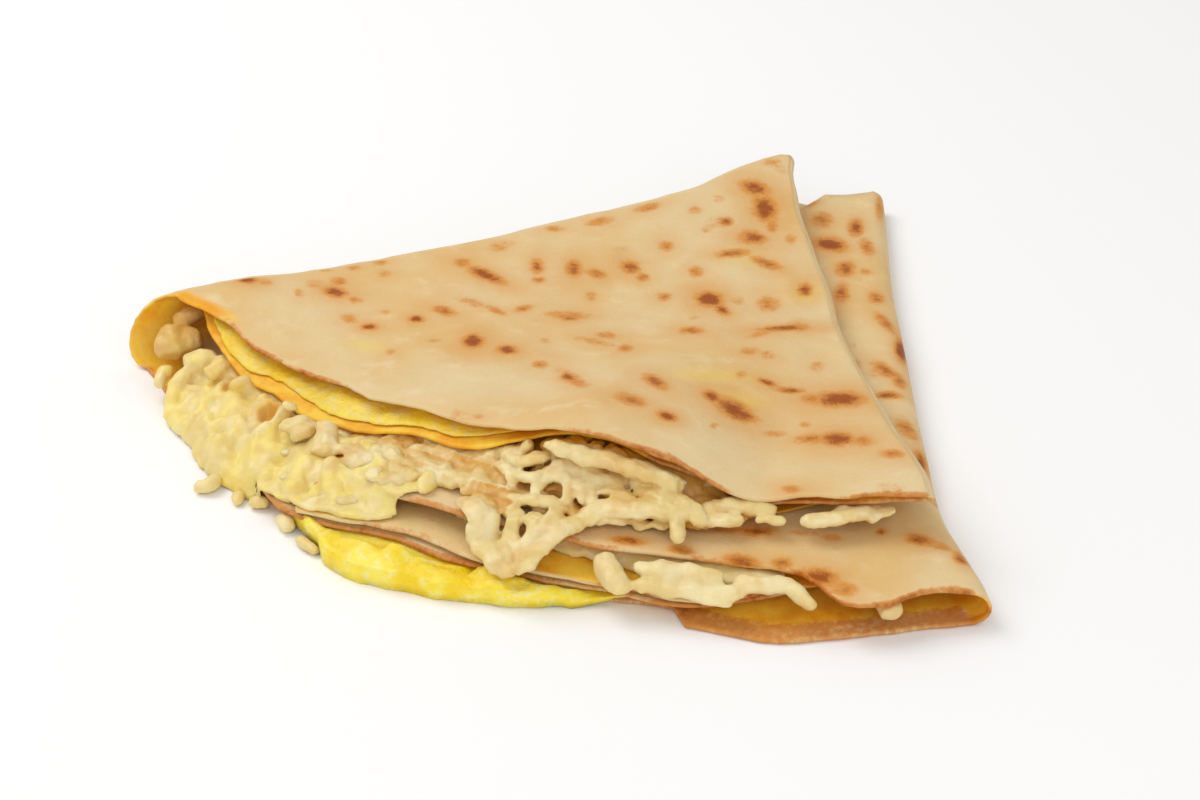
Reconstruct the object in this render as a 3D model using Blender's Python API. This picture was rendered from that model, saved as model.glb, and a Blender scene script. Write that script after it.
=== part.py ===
"""A crepe with egg and grated cheese, folded in half and then in three.

The crepe is one round sheet. Its egg side is folded inwards along a diameter, which gives two
layers, A outside and B inside. That half disc is folded in three about the middle of the
diameter, so six layers lie on each other in a wedge: from the top A and B (the top flap), A and
B again (the middle leaf), and B and A (the bottom leaf).

Places are polar about the tip of the wedge. "turn" is the angle from the -Y direction towards
-X in degrees, and "reach" is the distance from the tip. Lengths are in millimetres until
mesh_object scales them to metres. Z is 0 on the surface that the crepe lies on.
"""

import math
import random

import bpy
import bmesh
import numpy as np
from mathutils import Vector

MM = 0.001
APEX = (96.1, 121.2)
SHEET = 1.3
CLEAR = 0.3
BETWEEN_LEAVES = 0.45

BACK_REACH = ((-2, 20.0), (17, 22.5), (28, 25.5), (40, 29.0), (52, 31.5), (58, 34.0), (63, 39.0))
RIM_MEAN = 210.0
SHEET_ROWS = 13

LEFT_FOLD = ((30, 64.0), (45, 63.5), (66, 59.8), (95, 60.2), (150, 61.8), (215, 62.6))
RIGHT_FOLD = (
    (0, -0.6), (46, 1.4), (69, 2.0), (106, 1.4),
    (155, 0.9), (190, 0.3), (205, -0.7), (222, -1.5),
)
TOP_EDGE = (
    (30, 53.0), (35, 47.0), (43, 36.5), (57, 26.0), (88, 13.8),
    (116, 9.4), (141, 6.0), (165, 3.8), (186, 1.9), (215, 1.7),
)
MIDDLE_EDGE = ((0, 41.0), (80, 39.0), (215, 39.5))

LEFT_BULGE = ((30, 3.2), (45, 4.5), (80, 7.5))
RIGHT_BULGE = ((20, 4.4), (60, 5.6))
RIM_BULGE = 5.0
BULGE_STEPS = 5
EDGE_STEPS = 3
TOP_COLUMNS = 23
BOTTOM_COLUMNS = 17
MIDDLE_COLUMNS = 13
MIDDLE_EDGE_BULGE = 2.6
SOLVE_STEPS = 14

TOP_RIM_A = (
    (0, 196.5), (10, 199.2), (20, 201.7), (31, 203.7),
    (40, 204.8), (51, 205.5), (57, 208), (62, 212),
)
TOP_RIM_B = (
    (0, 194.5), (10, 196.5), (20, 198.5), (26, 200), (33, 206.5),
    (42, 211), (51, 210.5), (57, 208.5), (62, 206),
)
BOTTOM_RIM_A = (
    (-2, 218.0), (3, 221.5), (8, 227.5), (15.4, 228.6), (16.6, 222.5), (20, 224),
    (26, 228), (34, 233.5), (40, 232), (46, 227), (54, 222), (62, 221),
)
BOTTOM_RIM_B = (
    (-2, 196.0), (5, 198), (9, 211), (13, 221), (20, 225), (27, 228.5),
    (33, 231), (39, 235), (45, 228), (54, 217), (62, 208),
)
MIDDLE_RIM_A = (
    (-2, 219.3), (2.6, 219.8), (4.8, 225.4), (7, 224.8), (8.8, 217.5), (12, 216),
    (17, 217.8), (24, 220.5), (31, 223.5), (36, 223.5), (40, 221),
)
MIDDLE_RIM_B = (
    (-2, 196.0), (5, 198), (9, 212), (13, 221.5),
    (20, 225.5), (27, 228), (33, 230.5), (40, 235),
)

TOP_RIM_HEIGHT = (
    (-2, 19.5), (4, 20.0), (9, 19.0), (12.4, 17.9), (15, 20.3), (18.5, 25.4), (22, 28.4), (25.2, 29.3),
    (28, 26.5), (31, 23.8), (36, 23.4), (40, 21.6), (46, 18.7), (52, 17.3), (62, 17.0),
)
BOTTOM_GAP_FRONT = (
    (-2, 1.4), (12, 1.3), (20, 1.4), (27, 2.6),
    (33, 3.8), (40, 2.6), (50, 2.2), (62, 2.2),
)
MIDDLE_GAP_FRONT = ((-2, 2.0), (6, 2.5), (12, 3.6), (20, 4.6), (30, 4.2), (40, 2.8))
GAP_BACK = 1.4
TOP_GAP = 1.7
TOP_DROOP = ((-2, 0.0), (24, 0.2), (33, 2.6), (42, 3.8), (51, 3.5), (57, 2.2), (62, 0.8))

EGG_SKIN = 0.7
EGG_CLEAR = 0.45
EGG_FIRST_ROW = 3
EGG_TOP_INSET = 1.2
EGG_RIM = (
    (-2, 186.0), (8, 200), (14, 215), (17, 221), (21, 226), (25, 235),
    (29, 239.5), (34, 240.5), (38, 237), (42, 229), (50, 218), (62, 202),
)
EGG_MIDDLE_RIM = 188.0
EGG_NOSE = 0.035

SHRED_SIDES = 6
SHRED_RINGS = 5
SHRED_RADIUS = 1.5
STRING_RADIUS = 1.2
CORNER_CLEAR = 0.7
SHRED_COUNT = 14
SHRED_SEED = 7
SHRED_TURNS = (14.0, 38.0)
SHRED_REACHES = (202.0, 217.0)
SHRED_LENGTHS = (9.0, 17.0)

HEAP_START = ((3, 170.0), (14, 152), (25, 138), (37, 122), (43, 90), (60, 90))
HEAP_EDGE_INSET = 5.0
HEAP_CLEAR = 0.4
HEAP_COLUMNS = 24
HEAP_ROWS = 9
HEAP_LIP = 1.3
HEAP_RIM = (
    (3, 189.0), (8, 195), (14, 204), (20, 212), (30, 216),
    (38, 217), (42, 223), (48, 222), (54, 213), (58, 203),
)
HEAP_FACE = ((3, 172.0), (12, 186), (20, 198), (30, 203), (40, 207), (50, 206), (58, 196))

MELT_TURNS = (42.6, 54.6)
MELT_STRANDS = 8
MELT_RADIUS = 3.0
MELT_INNER_RADIUS = 2.1

LOWER_TURNS = (10.2, 31.0)
LOWER_COLUMNS = 15
LOWER_REACHES = (193.5, 201.0, 208.0, 213.0, 217.0, 219.5)


def profile(place, knots):
    """Smooth curve through a few (place, value) knots, level past its ends."""
    at = np.array([knot[0] for knot in knots], float)
    value = np.array([knot[1] for knot in knots], float)
    step = np.diff(at)
    slope = np.diff(value) / step
    tangent = np.zeros(len(at))
    flat = slope[:-1] * slope[1:] <= 0
    mean_slope = (slope[:-1] * step[1:] + slope[1:] * step[:-1]) / (step[:-1] + step[1:])
    tangent[1:-1] = np.where(flat, 0.0, mean_slope)
    place = np.clip(np.asarray(place, float), at[0], at[-1])
    piece = np.clip(np.searchsorted(at, place, side="right") - 1, 0, len(step) - 1)
    part = (place - at[piece]) / step[piece]
    rise = step[piece]
    start = (2 * part**3 - 3 * part**2 + 1) * value[piece]
    start += (part**3 - 2 * part**2 + part) * rise * tangent[piece]
    end = (3 * part**2 - 2 * part**3) * value[piece + 1]
    end += (part**3 - part**2) * rise * tangent[piece + 1]
    return start + end


def ramp(value, low, high):
    """Smooth step from 0 at low to 1 at high."""
    part = np.clip((np.asarray(value, float) - low) / (high - low), 0.0, 1.0)
    return part * part * (3 - 2 * part)


def waves(turn, reach):
    """Gentle unevenness of the top of the crepe, between about -1 and 1."""
    across = np.radians(turn) * 200
    return (
        0.45 * np.sin(across / 17 + reach / 31)
        + 0.35 * np.sin(across / 9 - reach / 23 + 1.3)
        + 0.25 * np.sin(across / 5.5 + reach / 14 + 2.1)
    )


def ragged(turn, phase):
    """Small unevenness of a rim, in millimetres of reach."""
    return 0.6 * np.sin(turn * 0.53 + phase) + 0.4 * np.sin(turn * 0.97 + 2 * phase)


def tip_pinch(reach):
    """Share of the usual space between two sheets, less where they are pressed together at the tip."""
    return 0.45 + 0.55 * ramp(reach, 30, 75)


def rim_line(knots, phase):
    """Rim reach as a function of turn, with its unevenness."""
    return lambda turn: profile(turn, knots) + ragged(turn, phase)


RIMS_A = (rim_line(TOP_RIM_A, 0.4), rim_line(BOTTOM_RIM_A, 1.9), rim_line(MIDDLE_RIM_A, 3.2))
RIMS_B = (rim_line(TOP_RIM_B, 4.1), rim_line(BOTTOM_RIM_B, 5.3), rim_line(MIDDLE_RIM_B, 6.0))
EGG_BOTTOM_RIM = rim_line(EGG_RIM, 2.6)


def bottom_gap(turn, reach):
    """Space between the two sheets of the bottom leaf."""
    opened = (profile(turn, BOTTOM_GAP_FRONT) - GAP_BACK) * ramp(reach, 150, 216)
    return GAP_BACK * tip_pinch(reach) + opened


def middle_gap(turn, reach):
    """Space between the two sheets of the middle leaf."""
    opened = (profile(turn, MIDDLE_GAP_FRONT) - GAP_BACK) * ramp(reach, 140, 212)
    return GAP_BACK * tip_pinch(reach) + opened


def top_gap(turn, reach):
    """Space between the two sheets of the top flap, wider where the lower one droops."""
    rim = profile(turn, TOP_RIM_A)
    return TOP_GAP * tip_pinch(reach) + profile(turn, TOP_DROOP) * ramp(reach, rim - 12, rim + 10)


def bottom_top(turn, reach):
    """Height of the upper face of the bottom leaf."""
    return 2 * SHEET + bottom_gap(turn, reach)


def middle_top(turn, reach):
    """Height of the upper face of the middle leaf."""
    return bottom_top(turn, reach) + BETWEEN_LEAVES + 2 * SHEET + middle_gap(turn, reach)


def flap_top(turn, reach):
    """Height of the upper face of the top flap."""
    back = 14.7 + 1.4 * ramp(turn, 15, 62) + 2.2 * np.exp(-reach / 45)
    back = back + 0.5 * waves(turn, reach) * ramp(reach, 60, 110)
    front = profile(turn, TOP_RIM_HEIGHT)
    share = ramp(reach, 96, 206) ** 1.25
    return back + (front - back) * share


def flap_underside(turn, reach):
    """Height of the lower face of the top flap."""
    return flap_top(turn, reach) - 2 * SHEET - top_gap(turn, reach)


def spread(count):
    """Even steps from 0 to 1."""
    return np.linspace(0.0, 1.0, count)


def sheet_rows():
    """Row places of the sheet, a little closer together towards the rim."""
    return spread(SHEET_ROWS) ** 0.85


def column_reach(rows, turn, rim, inset):
    """Reach of each row on a column, from the blunt back of the wedge out to the rim."""
    start = profile(turn, BACK_REACH) + inset
    return start + rows * (rim - start)


def edge_place(rows, knots, rim, inset, offset):
    """Turn and reach of a line a given offset beside a fold line, solved by repeated steps."""
    turn = np.full_like(rows, knots[-1][1])
    for _ in range(SOLVE_STEPS):
        reach = column_reach(rows, turn, rim(turn), inset)
        turn = (turn + profile(reach, knots) + np.degrees(offset(reach) / reach)) / 2
    return turn, column_reach(rows, turn, rim(turn), inset)


def fold_bend(rows, knots, rims, inset, side, bulge, upper, lower, downwards):
    """Half round where the band turns over at a fold line.

    rims is the rim reach where the bend begins and ends, side is 1 on the left fold and -1 on
    the right one, and upper and lower give the heights that the bend joins.
    """
    steps = spread(BULGE_STEPS + 2)[1:-1] * math.pi
    share = (1 - np.cos(steps)) / 2
    guess = profile(RIM_MEAN, knots)
    rim = rims[0] + (rims[1] - rims[0]) * share + RIM_BULGE * (side > 0) * np.sin(steps)
    reach = column_reach(rows, guess + 0 * share, rim, inset)
    bulge = profile(reach, bulge)
    start = profile(reach, knots) - side * np.degrees(bulge / reach)
    high = upper(start, reach)
    low = lower(start, reach)
    depth = (lower.depth(start, reach) + upper.depth(start, reach)) / 2
    width = np.maximum(bulge - depth, 0.5) * np.sin(steps)
    cosine = np.cos(steps) if downwards else -np.cos(steps)
    return start + side * np.degrees(width / reach), reach, (high + low) / 2 + (high - low) / 2 * cosine


class Face:
    """Height of one face of the band: a leaf's outside plus or minus a depth into it."""

    def __init__(self, outside, depth, way):
        self.outside = outside
        self.depth = depth
        self.way = way

    def __call__(self, turn, reach):
        return self.outside(turn, reach) + self.way * self.depth(turn, reach)


def sheet_chain(rows, inset, depths, rims):
    """Points of one face of the folded band, from the top flap's free edge to the middle leaf's.

    depths gives the distance of the face from the outside of the folded band on the top flap,
    the bottom leaf and the middle leaf. rims gives the rim reach on the same three.
    """
    rows = rows[:, None]
    top = Face(flap_top, depths[0], -1)
    bottom = Face(constant(0.0), depths[1], 1)
    middle = Face(middle_top, depths[2], -1)
    top_rim, bottom_rim, middle_rim = rims

    def leaf(face, rim, columns, first, last):
        """One leaf between two lines, each given as fold knots and an offset."""
        begin = edge_place(rows, first[0], rim, inset, first[1])[0]
        end = edge_place(rows, last[0], rim, inset, last[1])[0]
        turn = begin + (end - begin) * spread(columns)
        reach = column_reach(rows, turn, rim(turn), inset)
        return turn, reach, face(turn, reach)

    top_first = (TOP_EDGE, lambda reach: SHEET + TOP_GAP / 2 + 0 * reach)
    left_line = (LEFT_FOLD, lambda reach: -profile(reach, LEFT_BULGE))
    right_line = (RIGHT_FOLD, lambda reach: profile(reach, RIGHT_BULGE))
    middle_last = (MIDDLE_EDGE, lambda reach: -MIDDLE_EDGE_BULGE + 0 * reach)
    flap = leaf(top, top_rim, TOP_COLUMNS, top_first, left_line)
    base = leaf(bottom, bottom_rim, BOTTOM_COLUMNS, left_line, right_line)
    inner = leaf(middle, middle_rim, MIDDLE_COLUMNS, right_line, middle_last)
    left_rims = (top_rim(flap[0][-1, -1]), bottom_rim(base[0][-1, 0]))
    left = fold_bend(rows, LEFT_FOLD, left_rims, inset, 1, LEFT_BULGE, top, bottom, True)
    right_rims = (bottom_rim(base[0][-1, -1]), middle_rim(inner[0][-1, 0]))
    right = fold_bend(rows, RIGHT_FOLD, right_rims, inset, -1, RIGHT_BULGE, middle, bottom, False)
    return [np.concatenate(parts, axis=1) for parts in zip(flap, left, base, right, inner)]


def free_edge(first, second, bulge, way):
    """Half round that joins the ends of two chains along a free edge."""
    steps = spread(EDGE_STEPS + 2)[1:-1] * math.pi
    share = (1 - np.cos(steps)) / 2
    turn = first[0] + (second[0] - first[0]) * share
    reach = first[1] + (second[1] - first[1]) * share
    height = first[2] + (second[2] - first[2]) * share
    return turn + way * bulge * np.sin(steps) * np.degrees(1 / reach), reach, height


def place(turn, reach, height):
    """Polar place to model coordinates in millimetres."""
    angle = np.radians(turn)
    return np.stack([APEX[0] - reach * np.sin(angle), APEX[1] - reach * np.cos(angle), height], axis=-1)


def constant(amount):
    """Depth that is the same everywhere."""
    return lambda turn, reach: amount + 0 * turn * reach


def sheet_loop(rows, inset, outer):
    """One face of the whole folded sheet as rows of closed loops: layer A, then layer B backwards."""
    depth_a = 0.0 if outer else SHEET
    depth_b = 2 * SHEET if outer else SHEET
    chain_a = sheet_chain(rows, inset, [constant(depth_a)] * 3, RIMS_A)
    gaps = (top_gap, bottom_gap, middle_gap)
    depths_b = [lambda turn, reach, gap=gap: depth_b + gap(turn, reach) for gap in gaps]
    chain_b = sheet_chain(rows, inset, depths_b, RIMS_B)
    wall = SHEET if outer else 0.0
    ends_a = [part[:, -1:] for part in chain_a]
    ends_b = [part[:, -1:] for part in chain_b]
    starts_a = [part[:, :1] for part in chain_a]
    starts_b = [part[:, :1] for part in chain_b]
    middle_turn = free_edge(ends_a, ends_b, (ends_a[2] - ends_b[2]) / 2, 1)
    top_turn = free_edge(starts_b, starts_a, wall + TOP_GAP / 2, -1)
    parts = []
    for index in range(3):
        around = [chain_a[index], middle_turn[index], chain_b[index][:, ::-1], top_turn[index]]
        parts.append(np.concatenate(around, axis=1))
    return place(*parts)


def mesh_object(name, vertices, faces, material):
    """Closed mesh object from millimetre points, with its faces turned outwards."""
    mesh = bpy.data.meshes.new(name)
    work = bmesh.new()
    made = [work.verts.new(Vector(point) * MM) for point in vertices]
    for face in faces:
        corners = [made[index] for index in dict.fromkeys(face)]
        if len(corners) > 2:
            work.faces.new(corners)
    bmesh.ops.recalc_face_normals(work, faces=work.faces[:])
    work.to_mesh(mesh)
    work.free()
    mesh.materials.append(material)
    mesh.shade_smooth()
    mesh.set_sharp_from_angle(angle=math.radians(50))
    made_object = bpy.data.objects.new(name, mesh)
    bpy.context.collection.objects.link(made_object)
    return made_object


def food_material(name, colour, roughness):
    """Plain Principled material for one food."""
    material = bpy.data.materials.new(name)
    material.use_nodes = True
    shader = material.node_tree.nodes["Principled BSDF"]
    shader.inputs["Base Color"].default_value = (*colour, 1.0)
    shader.inputs["Roughness"].default_value = roughness
    shader.inputs["Metallic"].default_value = 0.0
    return material


def grid_faces(rows, columns, first, closed=False):
    """Quads of a grid of vertices, and a last strip back to column 0 when it is closed."""
    faces = []
    last = columns if closed else columns - 1
    for row in range(rows - 1):
        for column in range(last):
            after = (column + 1) % columns
            near = first + row * columns
            far = near + columns
            faces.append((near + column, near + after, far + after, far + column))
    return faces


def folded_band_cap(columns, chain, first):
    """Faces that close a loop at the back of the wedge by pairing layer A with layer B."""
    faces = []
    order = list(range(columns))
    top = order[-EDGE_STEPS:][::-1]
    layer_a = top[: EDGE_STEPS // 2 + 1][::-1] + order[: chain + EDGE_STEPS // 2 + 1]
    layer_b = top[EDGE_STEPS // 2:] + order[chain + EDGE_STEPS // 2: 2 * chain + EDGE_STEPS][::-1]
    for index in range(len(layer_a) - 1):
        face = (layer_a[index], layer_a[index + 1], layer_b[index + 1], layer_b[index])
        faces.append(tuple(first + corner for corner in face))
    return faces


def make_crepe():
    """The folded sheet itself: outer and inner face, joined at the rim and closed at the back."""
    rows = sheet_rows()
    outer = sheet_loop(rows, 0.0, True)
    inner = sheet_loop(rows, SHEET, False)
    columns = outer.shape[1]
    chain = TOP_COLUMNS + BOTTOM_COLUMNS + MIDDLE_COLUMNS + 2 * BULGE_STEPS
    vertices = np.concatenate([outer.reshape(-1, 3), inner.reshape(-1, 3)])
    half = SHEET_ROWS * columns
    faces = grid_faces(SHEET_ROWS, columns, 0, closed=True)
    faces += [face[::-1] for face in grid_faces(SHEET_ROWS, columns, half, closed=True)]
    rim = (SHEET_ROWS - 1) * columns
    for column in range(columns):
        after = (column + 1) % columns
        faces.append((rim + column, rim + after, half + rim + after, half + rim + column))
    faces += folded_band_cap(columns, chain, 0)
    faces += [face[::-1] for face in folded_band_cap(columns, chain, half)]
    batter = food_material("crepe", (0.72, 0.55, 0.33), 0.6)
    return mesh_object("crepe", vertices, faces, batter)


def slab(upper, lower):
    """Vertices and faces of a closed slab between two grids of the same size."""
    rows, columns = upper.shape[:2]
    vertices = np.concatenate([upper.reshape(-1, 3), lower.reshape(-1, 3)])
    half = rows * columns
    faces = grid_faces(rows, columns, 0)
    faces += [face[::-1] for face in grid_faces(rows, columns, half)]
    ring = [column for column in range(columns)]
    ring += [row * columns + columns - 1 for row in range(1, rows)]
    ring += [(rows - 1) * columns + column for column in range(columns - 2, -1, -1)]
    ring += [row * columns for row in range(rows - 2, 0, -1)]
    for index, corner in enumerate(ring):
        after = ring[(index + 1) % len(ring)]
        faces.append((corner, half + corner, half + after, after))
    return vertices, faces


def make_egg():
    """Thin egg between the two sheets, which swells out of the bottom leaf at the front."""
    rows = np.concatenate([sheet_rows()[EGG_FIRST_ROW:-1], [1 - EGG_NOSE, 1 - EGG_NOSE / 3, 1.0]])

    def nose(turn, reach, rim):
        """Thickness share that falls to a small lip at the rim."""
        left = np.clip((rim - reach) / (EGG_NOSE * rim), 0.0, 1.0)
        return 0.12 + 0.88 * np.sqrt(1 - (1 - left) ** 2)

    def top_rim(turn):
        """Rim of the egg in the top flap."""
        return RIMS_B[0](turn) - EGG_TOP_INSET

    def middle_rim(turn):
        """Rim of the egg in the middle leaf."""
        return EGG_MIDDLE_RIM + ragged(turn, 0.9)

    rims = [top_rim, EGG_BOTTOM_RIM, middle_rim]

    def near_b(gap):
        """Depth of the face that lies against the inner sheet."""
        return lambda turn, reach: SHEET + gap(turn, reach) - EGG_CLEAR

    def skin(gap, rim):
        """Depth of the other face where the egg is a thin skin."""
        def depth(turn, reach):
            thick = np.minimum(EGG_SKIN, gap(turn, reach) - 2 * EGG_CLEAR)
            return SHEET + gap(turn, reach) - EGG_CLEAR - thick * nose(turn, reach, rim(turn))

        return depth

    def fill(gap, rim):
        """Depth of the other face where the egg fills the gap."""
        def depth(turn, reach):
            thick = gap(turn, reach) - CLEAR - EGG_CLEAR
            return SHEET + CLEAR + thick * (1 - nose(turn, reach, rim(turn)))

        return depth

    gaps = (top_gap, bottom_gap, middle_gap)
    far_side = [near_b(gap) for gap in gaps]
    near_side = [skin(top_gap, top_rim), fill(bottom_gap, EGG_BOTTOM_RIM), skin(middle_gap, middle_rim)]
    upper = place(*sheet_chain(rows, 0.0, near_side, rims))
    lower = place(*sheet_chain(rows, 0.0, far_side, rims))
    vertices, faces = slab(upper, lower)
    yolk = food_material("egg", (0.95, 0.66, 0.05), 0.35)
    return mesh_object("egg", vertices, faces, yolk)


def highest_sheet(turn, reach):
    """Height of the top of whatever sheet or egg lies lowest and is open to the heap at a place."""
    split = profile(reach, MIDDLE_EDGE)
    over_middle = turn < split + np.degrees(1.0 / reach)
    bottom = bottom_top(turn, reach)
    inner_rim = np.where(over_middle, np.maximum(RIMS_B[1](turn), RIMS_B[2](turn)), RIMS_B[1](turn))
    inner_top = np.where(over_middle, bottom + BETWEEN_LEAVES + SHEET, bottom)
    height = np.where(reach < inner_rim + 0.4, inner_top, SHEET)
    egg_top = SHEET + bottom_gap(turn, reach)
    height = np.where((reach >= inner_rim + 0.4) & (reach < EGG_BOTTOM_RIM(turn) + 0.4), egg_top, height)
    beyond = reach > np.maximum(np.maximum(RIMS_A[1](turn), EGG_BOTTOM_RIM(turn)), inner_rim) + 0.4
    height = np.where(beyond, 0.0, height)
    return np.where(over_middle & (reach < RIMS_A[2](turn) + 0.4), middle_top(turn, reach), height)


def clear_floor(turn, reach, around):
    """Lowest height that keeps clear of the sheets within a distance round a place."""
    floor = highest_sheet(turn, reach)
    for step in range(8):
        angle = step * math.pi / 4
        near_reach = reach + around * math.cos(angle)
        near_turn = turn + np.degrees(around * math.sin(angle) / reach)
        floor = np.maximum(floor, highest_sheet(near_turn, near_reach))
    return floor + HEAP_CLEAR


def clear_ceiling(turn, reach, around):
    """Greatest height that keeps below the top flap within a distance round a place."""
    ceiling = np.full_like(np.asarray(turn, float) + reach, 99.0)
    for step in range(8):
        angle = step * math.pi / 4
        near_reach = reach + around * math.cos(angle)
        near_turn = turn + np.degrees(around * math.sin(angle) / reach)
        under = flap_underside(near_turn, near_reach)
        ceiling = np.minimum(ceiling, np.where(near_reach < RIMS_B[0](near_turn) + 0.6, under, 99.0))
    return ceiling - HEAP_CLEAR


def heap_top(turn, reach):
    """Top of the packed cheese: up to the flap inside, falling away to a lip in front."""
    floor = clear_floor(turn, reach, HEAP_LIP)
    slot = flap_underside(turn, reach) - HEAP_CLEAR - floor
    share = 1 - ramp(reach, profile(turn, HEAP_FACE), profile(turn, HEAP_RIM))
    return floor + np.maximum(HEAP_LIP, slot * share)


def strand(name, points, material):
    """Low-sided bent tube through (turn, reach, height, radius) points, kept clear of the sheets."""
    given = np.array(points, float)
    along = np.linspace(0, len(given) - 1, max(SHRED_RINGS, 2 * len(given) - 1))
    knots = np.arange(len(given))
    turn, reach, height, radius = [profile(along, list(zip(knots, given[:, item]))) for item in range(4)]
    height = np.maximum(height, clear_floor(turn, reach, radius + CORNER_CLEAR) + radius)
    height = np.minimum(height, clear_ceiling(turn, reach, radius) - radius)
    centres = place(turn, reach, height)
    tangents = np.gradient(centres, axis=0)
    tangents /= np.linalg.norm(tangents, axis=1)[:, None]
    sides = np.cross(tangents, (0.0, 0.0, 1.0))
    sides /= np.maximum(np.linalg.norm(sides, axis=1), 1e-6)[:, None]
    ups = np.cross(sides, tangents)
    radius[[0, -1]] *= 0.7
    angles = np.arange(SHRED_SIDES) * 2 * math.pi / SHRED_SIDES
    ring = np.cos(angles)[None, :, None] * sides[:, None] + np.sin(angles)[None, :, None] * ups[:, None]
    vertices = centres[:, None] + ring * radius[:, None, None]
    rings = len(centres)
    faces = grid_faces(rings, SHRED_SIDES, 0, closed=True)
    faces.append(tuple(range(SHRED_SIDES)))
    faces.append(tuple(reversed(range((rings - 1) * SHRED_SIDES, rings * SHRED_SIDES))))
    return mesh_object(name, vertices.reshape(-1, 3), faces, material)


def fuse(core, pieces):
    """Union the pieces into the core, keeping the one whole body."""
    loose = bpy.data.collections.new("pieces")
    bpy.context.scene.collection.children.link(loose)
    for piece in pieces:
        for holder in list(piece.users_collection):
            holder.objects.unlink(piece)
        loose.objects.link(piece)
    union = core.modifiers.new("fuse", "BOOLEAN")
    union.operation = "UNION"
    union.operand_type = "COLLECTION"
    union.collection = loose
    union.solver = "EXACT"
    evaluated = core.evaluated_get(bpy.context.evaluated_depsgraph_get())
    fused = bpy.data.meshes.new_from_object(evaluated)
    core.modifiers.clear()
    core.data = fused
    for piece in pieces:
        bpy.data.objects.remove(piece, do_unlink=True)
    bpy.data.collections.remove(loose)
    keep_largest_body(core.data)


def keep_largest_body(mesh):
    """Drop loose scraps and sealed hollows, which are bodies of their own."""
    work = bmesh.new()
    work.from_mesh(mesh)
    bodies = []
    left = set(work.faces)
    while left:
        body = {left.pop()}
        edge = list(body)
        while edge:
            face = edge.pop()
            for side in face.edges:
                for other in side.link_faces:
                    if other in left:
                        left.discard(other)
                        body.add(other)
                        edge.append(other)
        bodies.append(body)
    bodies.sort(key=len, reverse=True)
    scraps = [face for body in bodies[1:] for face in body]
    bmesh.ops.delete(work, geom=scraps, context="FACES")
    work.to_mesh(mesh)
    work.free()


def named_strands():
    """Cheese pieces that stand out, as (turn, reach, height, radius) points."""
    fine = STRING_RADIUS
    return {
        "curved": [
            (18.0, 206.5, 15.5, 1.9), (20.5, 209.5, 16.5, 2.0), (23.0, 216.0, 16.2, 2.0),
            (24.0, 224.0, 13.0, 1.9), (24.4, 231.0, 9.6, 2.0),
        ],
        "loop": [
            (31.0, 214.0, 16.0, 1.8), (29.6, 220.6, 15.0, 2.0),
            (27.4, 228.5, 11.5, 2.2), (25.3, 232.5, 9.6, 2.1),
        ],
        "straight": [
            (24.3, 204.0, 24.0, 1.8), (22.0, 203.4, 22.5, 1.9),
            (19.6, 203.1, 21.0, 1.9), (17.4, 201.5, 17.0, 1.7),
        ],
        "string near": [(16.4, 203.0, 13.5, fine), (14.0, 198.0, 14.0, fine), (11.6, 195.0, 14.0, fine)],
        "string far": [
            (10.2, 200.0, 13.0, fine), (8.2, 198.5, 13.0, fine),
            (6.2, 195.0, 13.2, fine), (4.5, 189.0, 13.0, fine),
        ],
        "upright": [(42.2, 212.0, 13.0, 2.4), (40.8, 217.0, 11.5, 2.6)],
        "mouth": [
            (55.0, 202.0, 7.6, 2.0), (57.0, 209.0, 7.6, 2.2),
            (59.0, 216.0, 8.6, 4.4), (59.4, 220.0, 8.6, 3.8),
        ],
        "mouth low": [(54.0, 210.0, 7.0, 1.8), (56.3, 217.0, 6.6, 3.0), (56.8, 221.0, 6.0, 2.4)],
    }


def random_strand(draw, turn):
    """One grated shred lying on the heap, bent a little."""
    reach = draw.uniform(*SHRED_REACHES)
    length = draw.uniform(*SHRED_LENGTHS)
    heading = draw.uniform(-0.9, 0.9)
    bow = draw.uniform(-3.0, 3.0)
    points = []
    for step in (-0.5, -0.17, 0.17, 0.5):
        sideways = step * length * math.cos(heading) - bow * (1 - 4 * step * step) * math.sin(heading)
        outward = step * length * math.sin(heading) + bow * (1 - 4 * step * step) * math.cos(heading)
        here_reach = min(reach + outward, float(profile(turn, HEAP_RIM)) + 1.0)
        here_turn = turn + math.degrees(sideways / here_reach)
        height = float(heap_top(here_turn, here_reach)) + 0.5 * SHRED_RADIUS
        points.append((here_turn, here_reach, height, SHRED_RADIUS))
    return points


def melted_strands():
    """Thick runs of melted cheese that come over the edge of the bottom leaf at the left."""
    runs = []
    for turn in np.linspace(*MELT_TURNS, MELT_STRANDS):
        edge = float(max(RIMS_A[1](turn), RIMS_B[1](turn)))
        top = float(clear_floor(turn, edge, MELT_RADIUS)) + MELT_RADIUS
        runs.append([
            (turn, float(profile(turn, HEAP_RIM)) - 4.0, top + 0.6, MELT_INNER_RADIUS),
            (turn - 0.2, edge - 3.0, top + 0.6, MELT_RADIUS),
            (turn - 0.4, edge + 0.4 * MELT_RADIUS, top, MELT_RADIUS),
            (turn - 0.5, edge + 1.35 * MELT_RADIUS + 0.8, MELT_RADIUS + CLEAR, MELT_RADIUS),
        ])
    return runs


def heap_reach(rows, turn):
    """Reach of each row of the packed cheese."""
    start = profile(turn, HEAP_START)
    return start + rows * (profile(turn, HEAP_RIM) - start)


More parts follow.
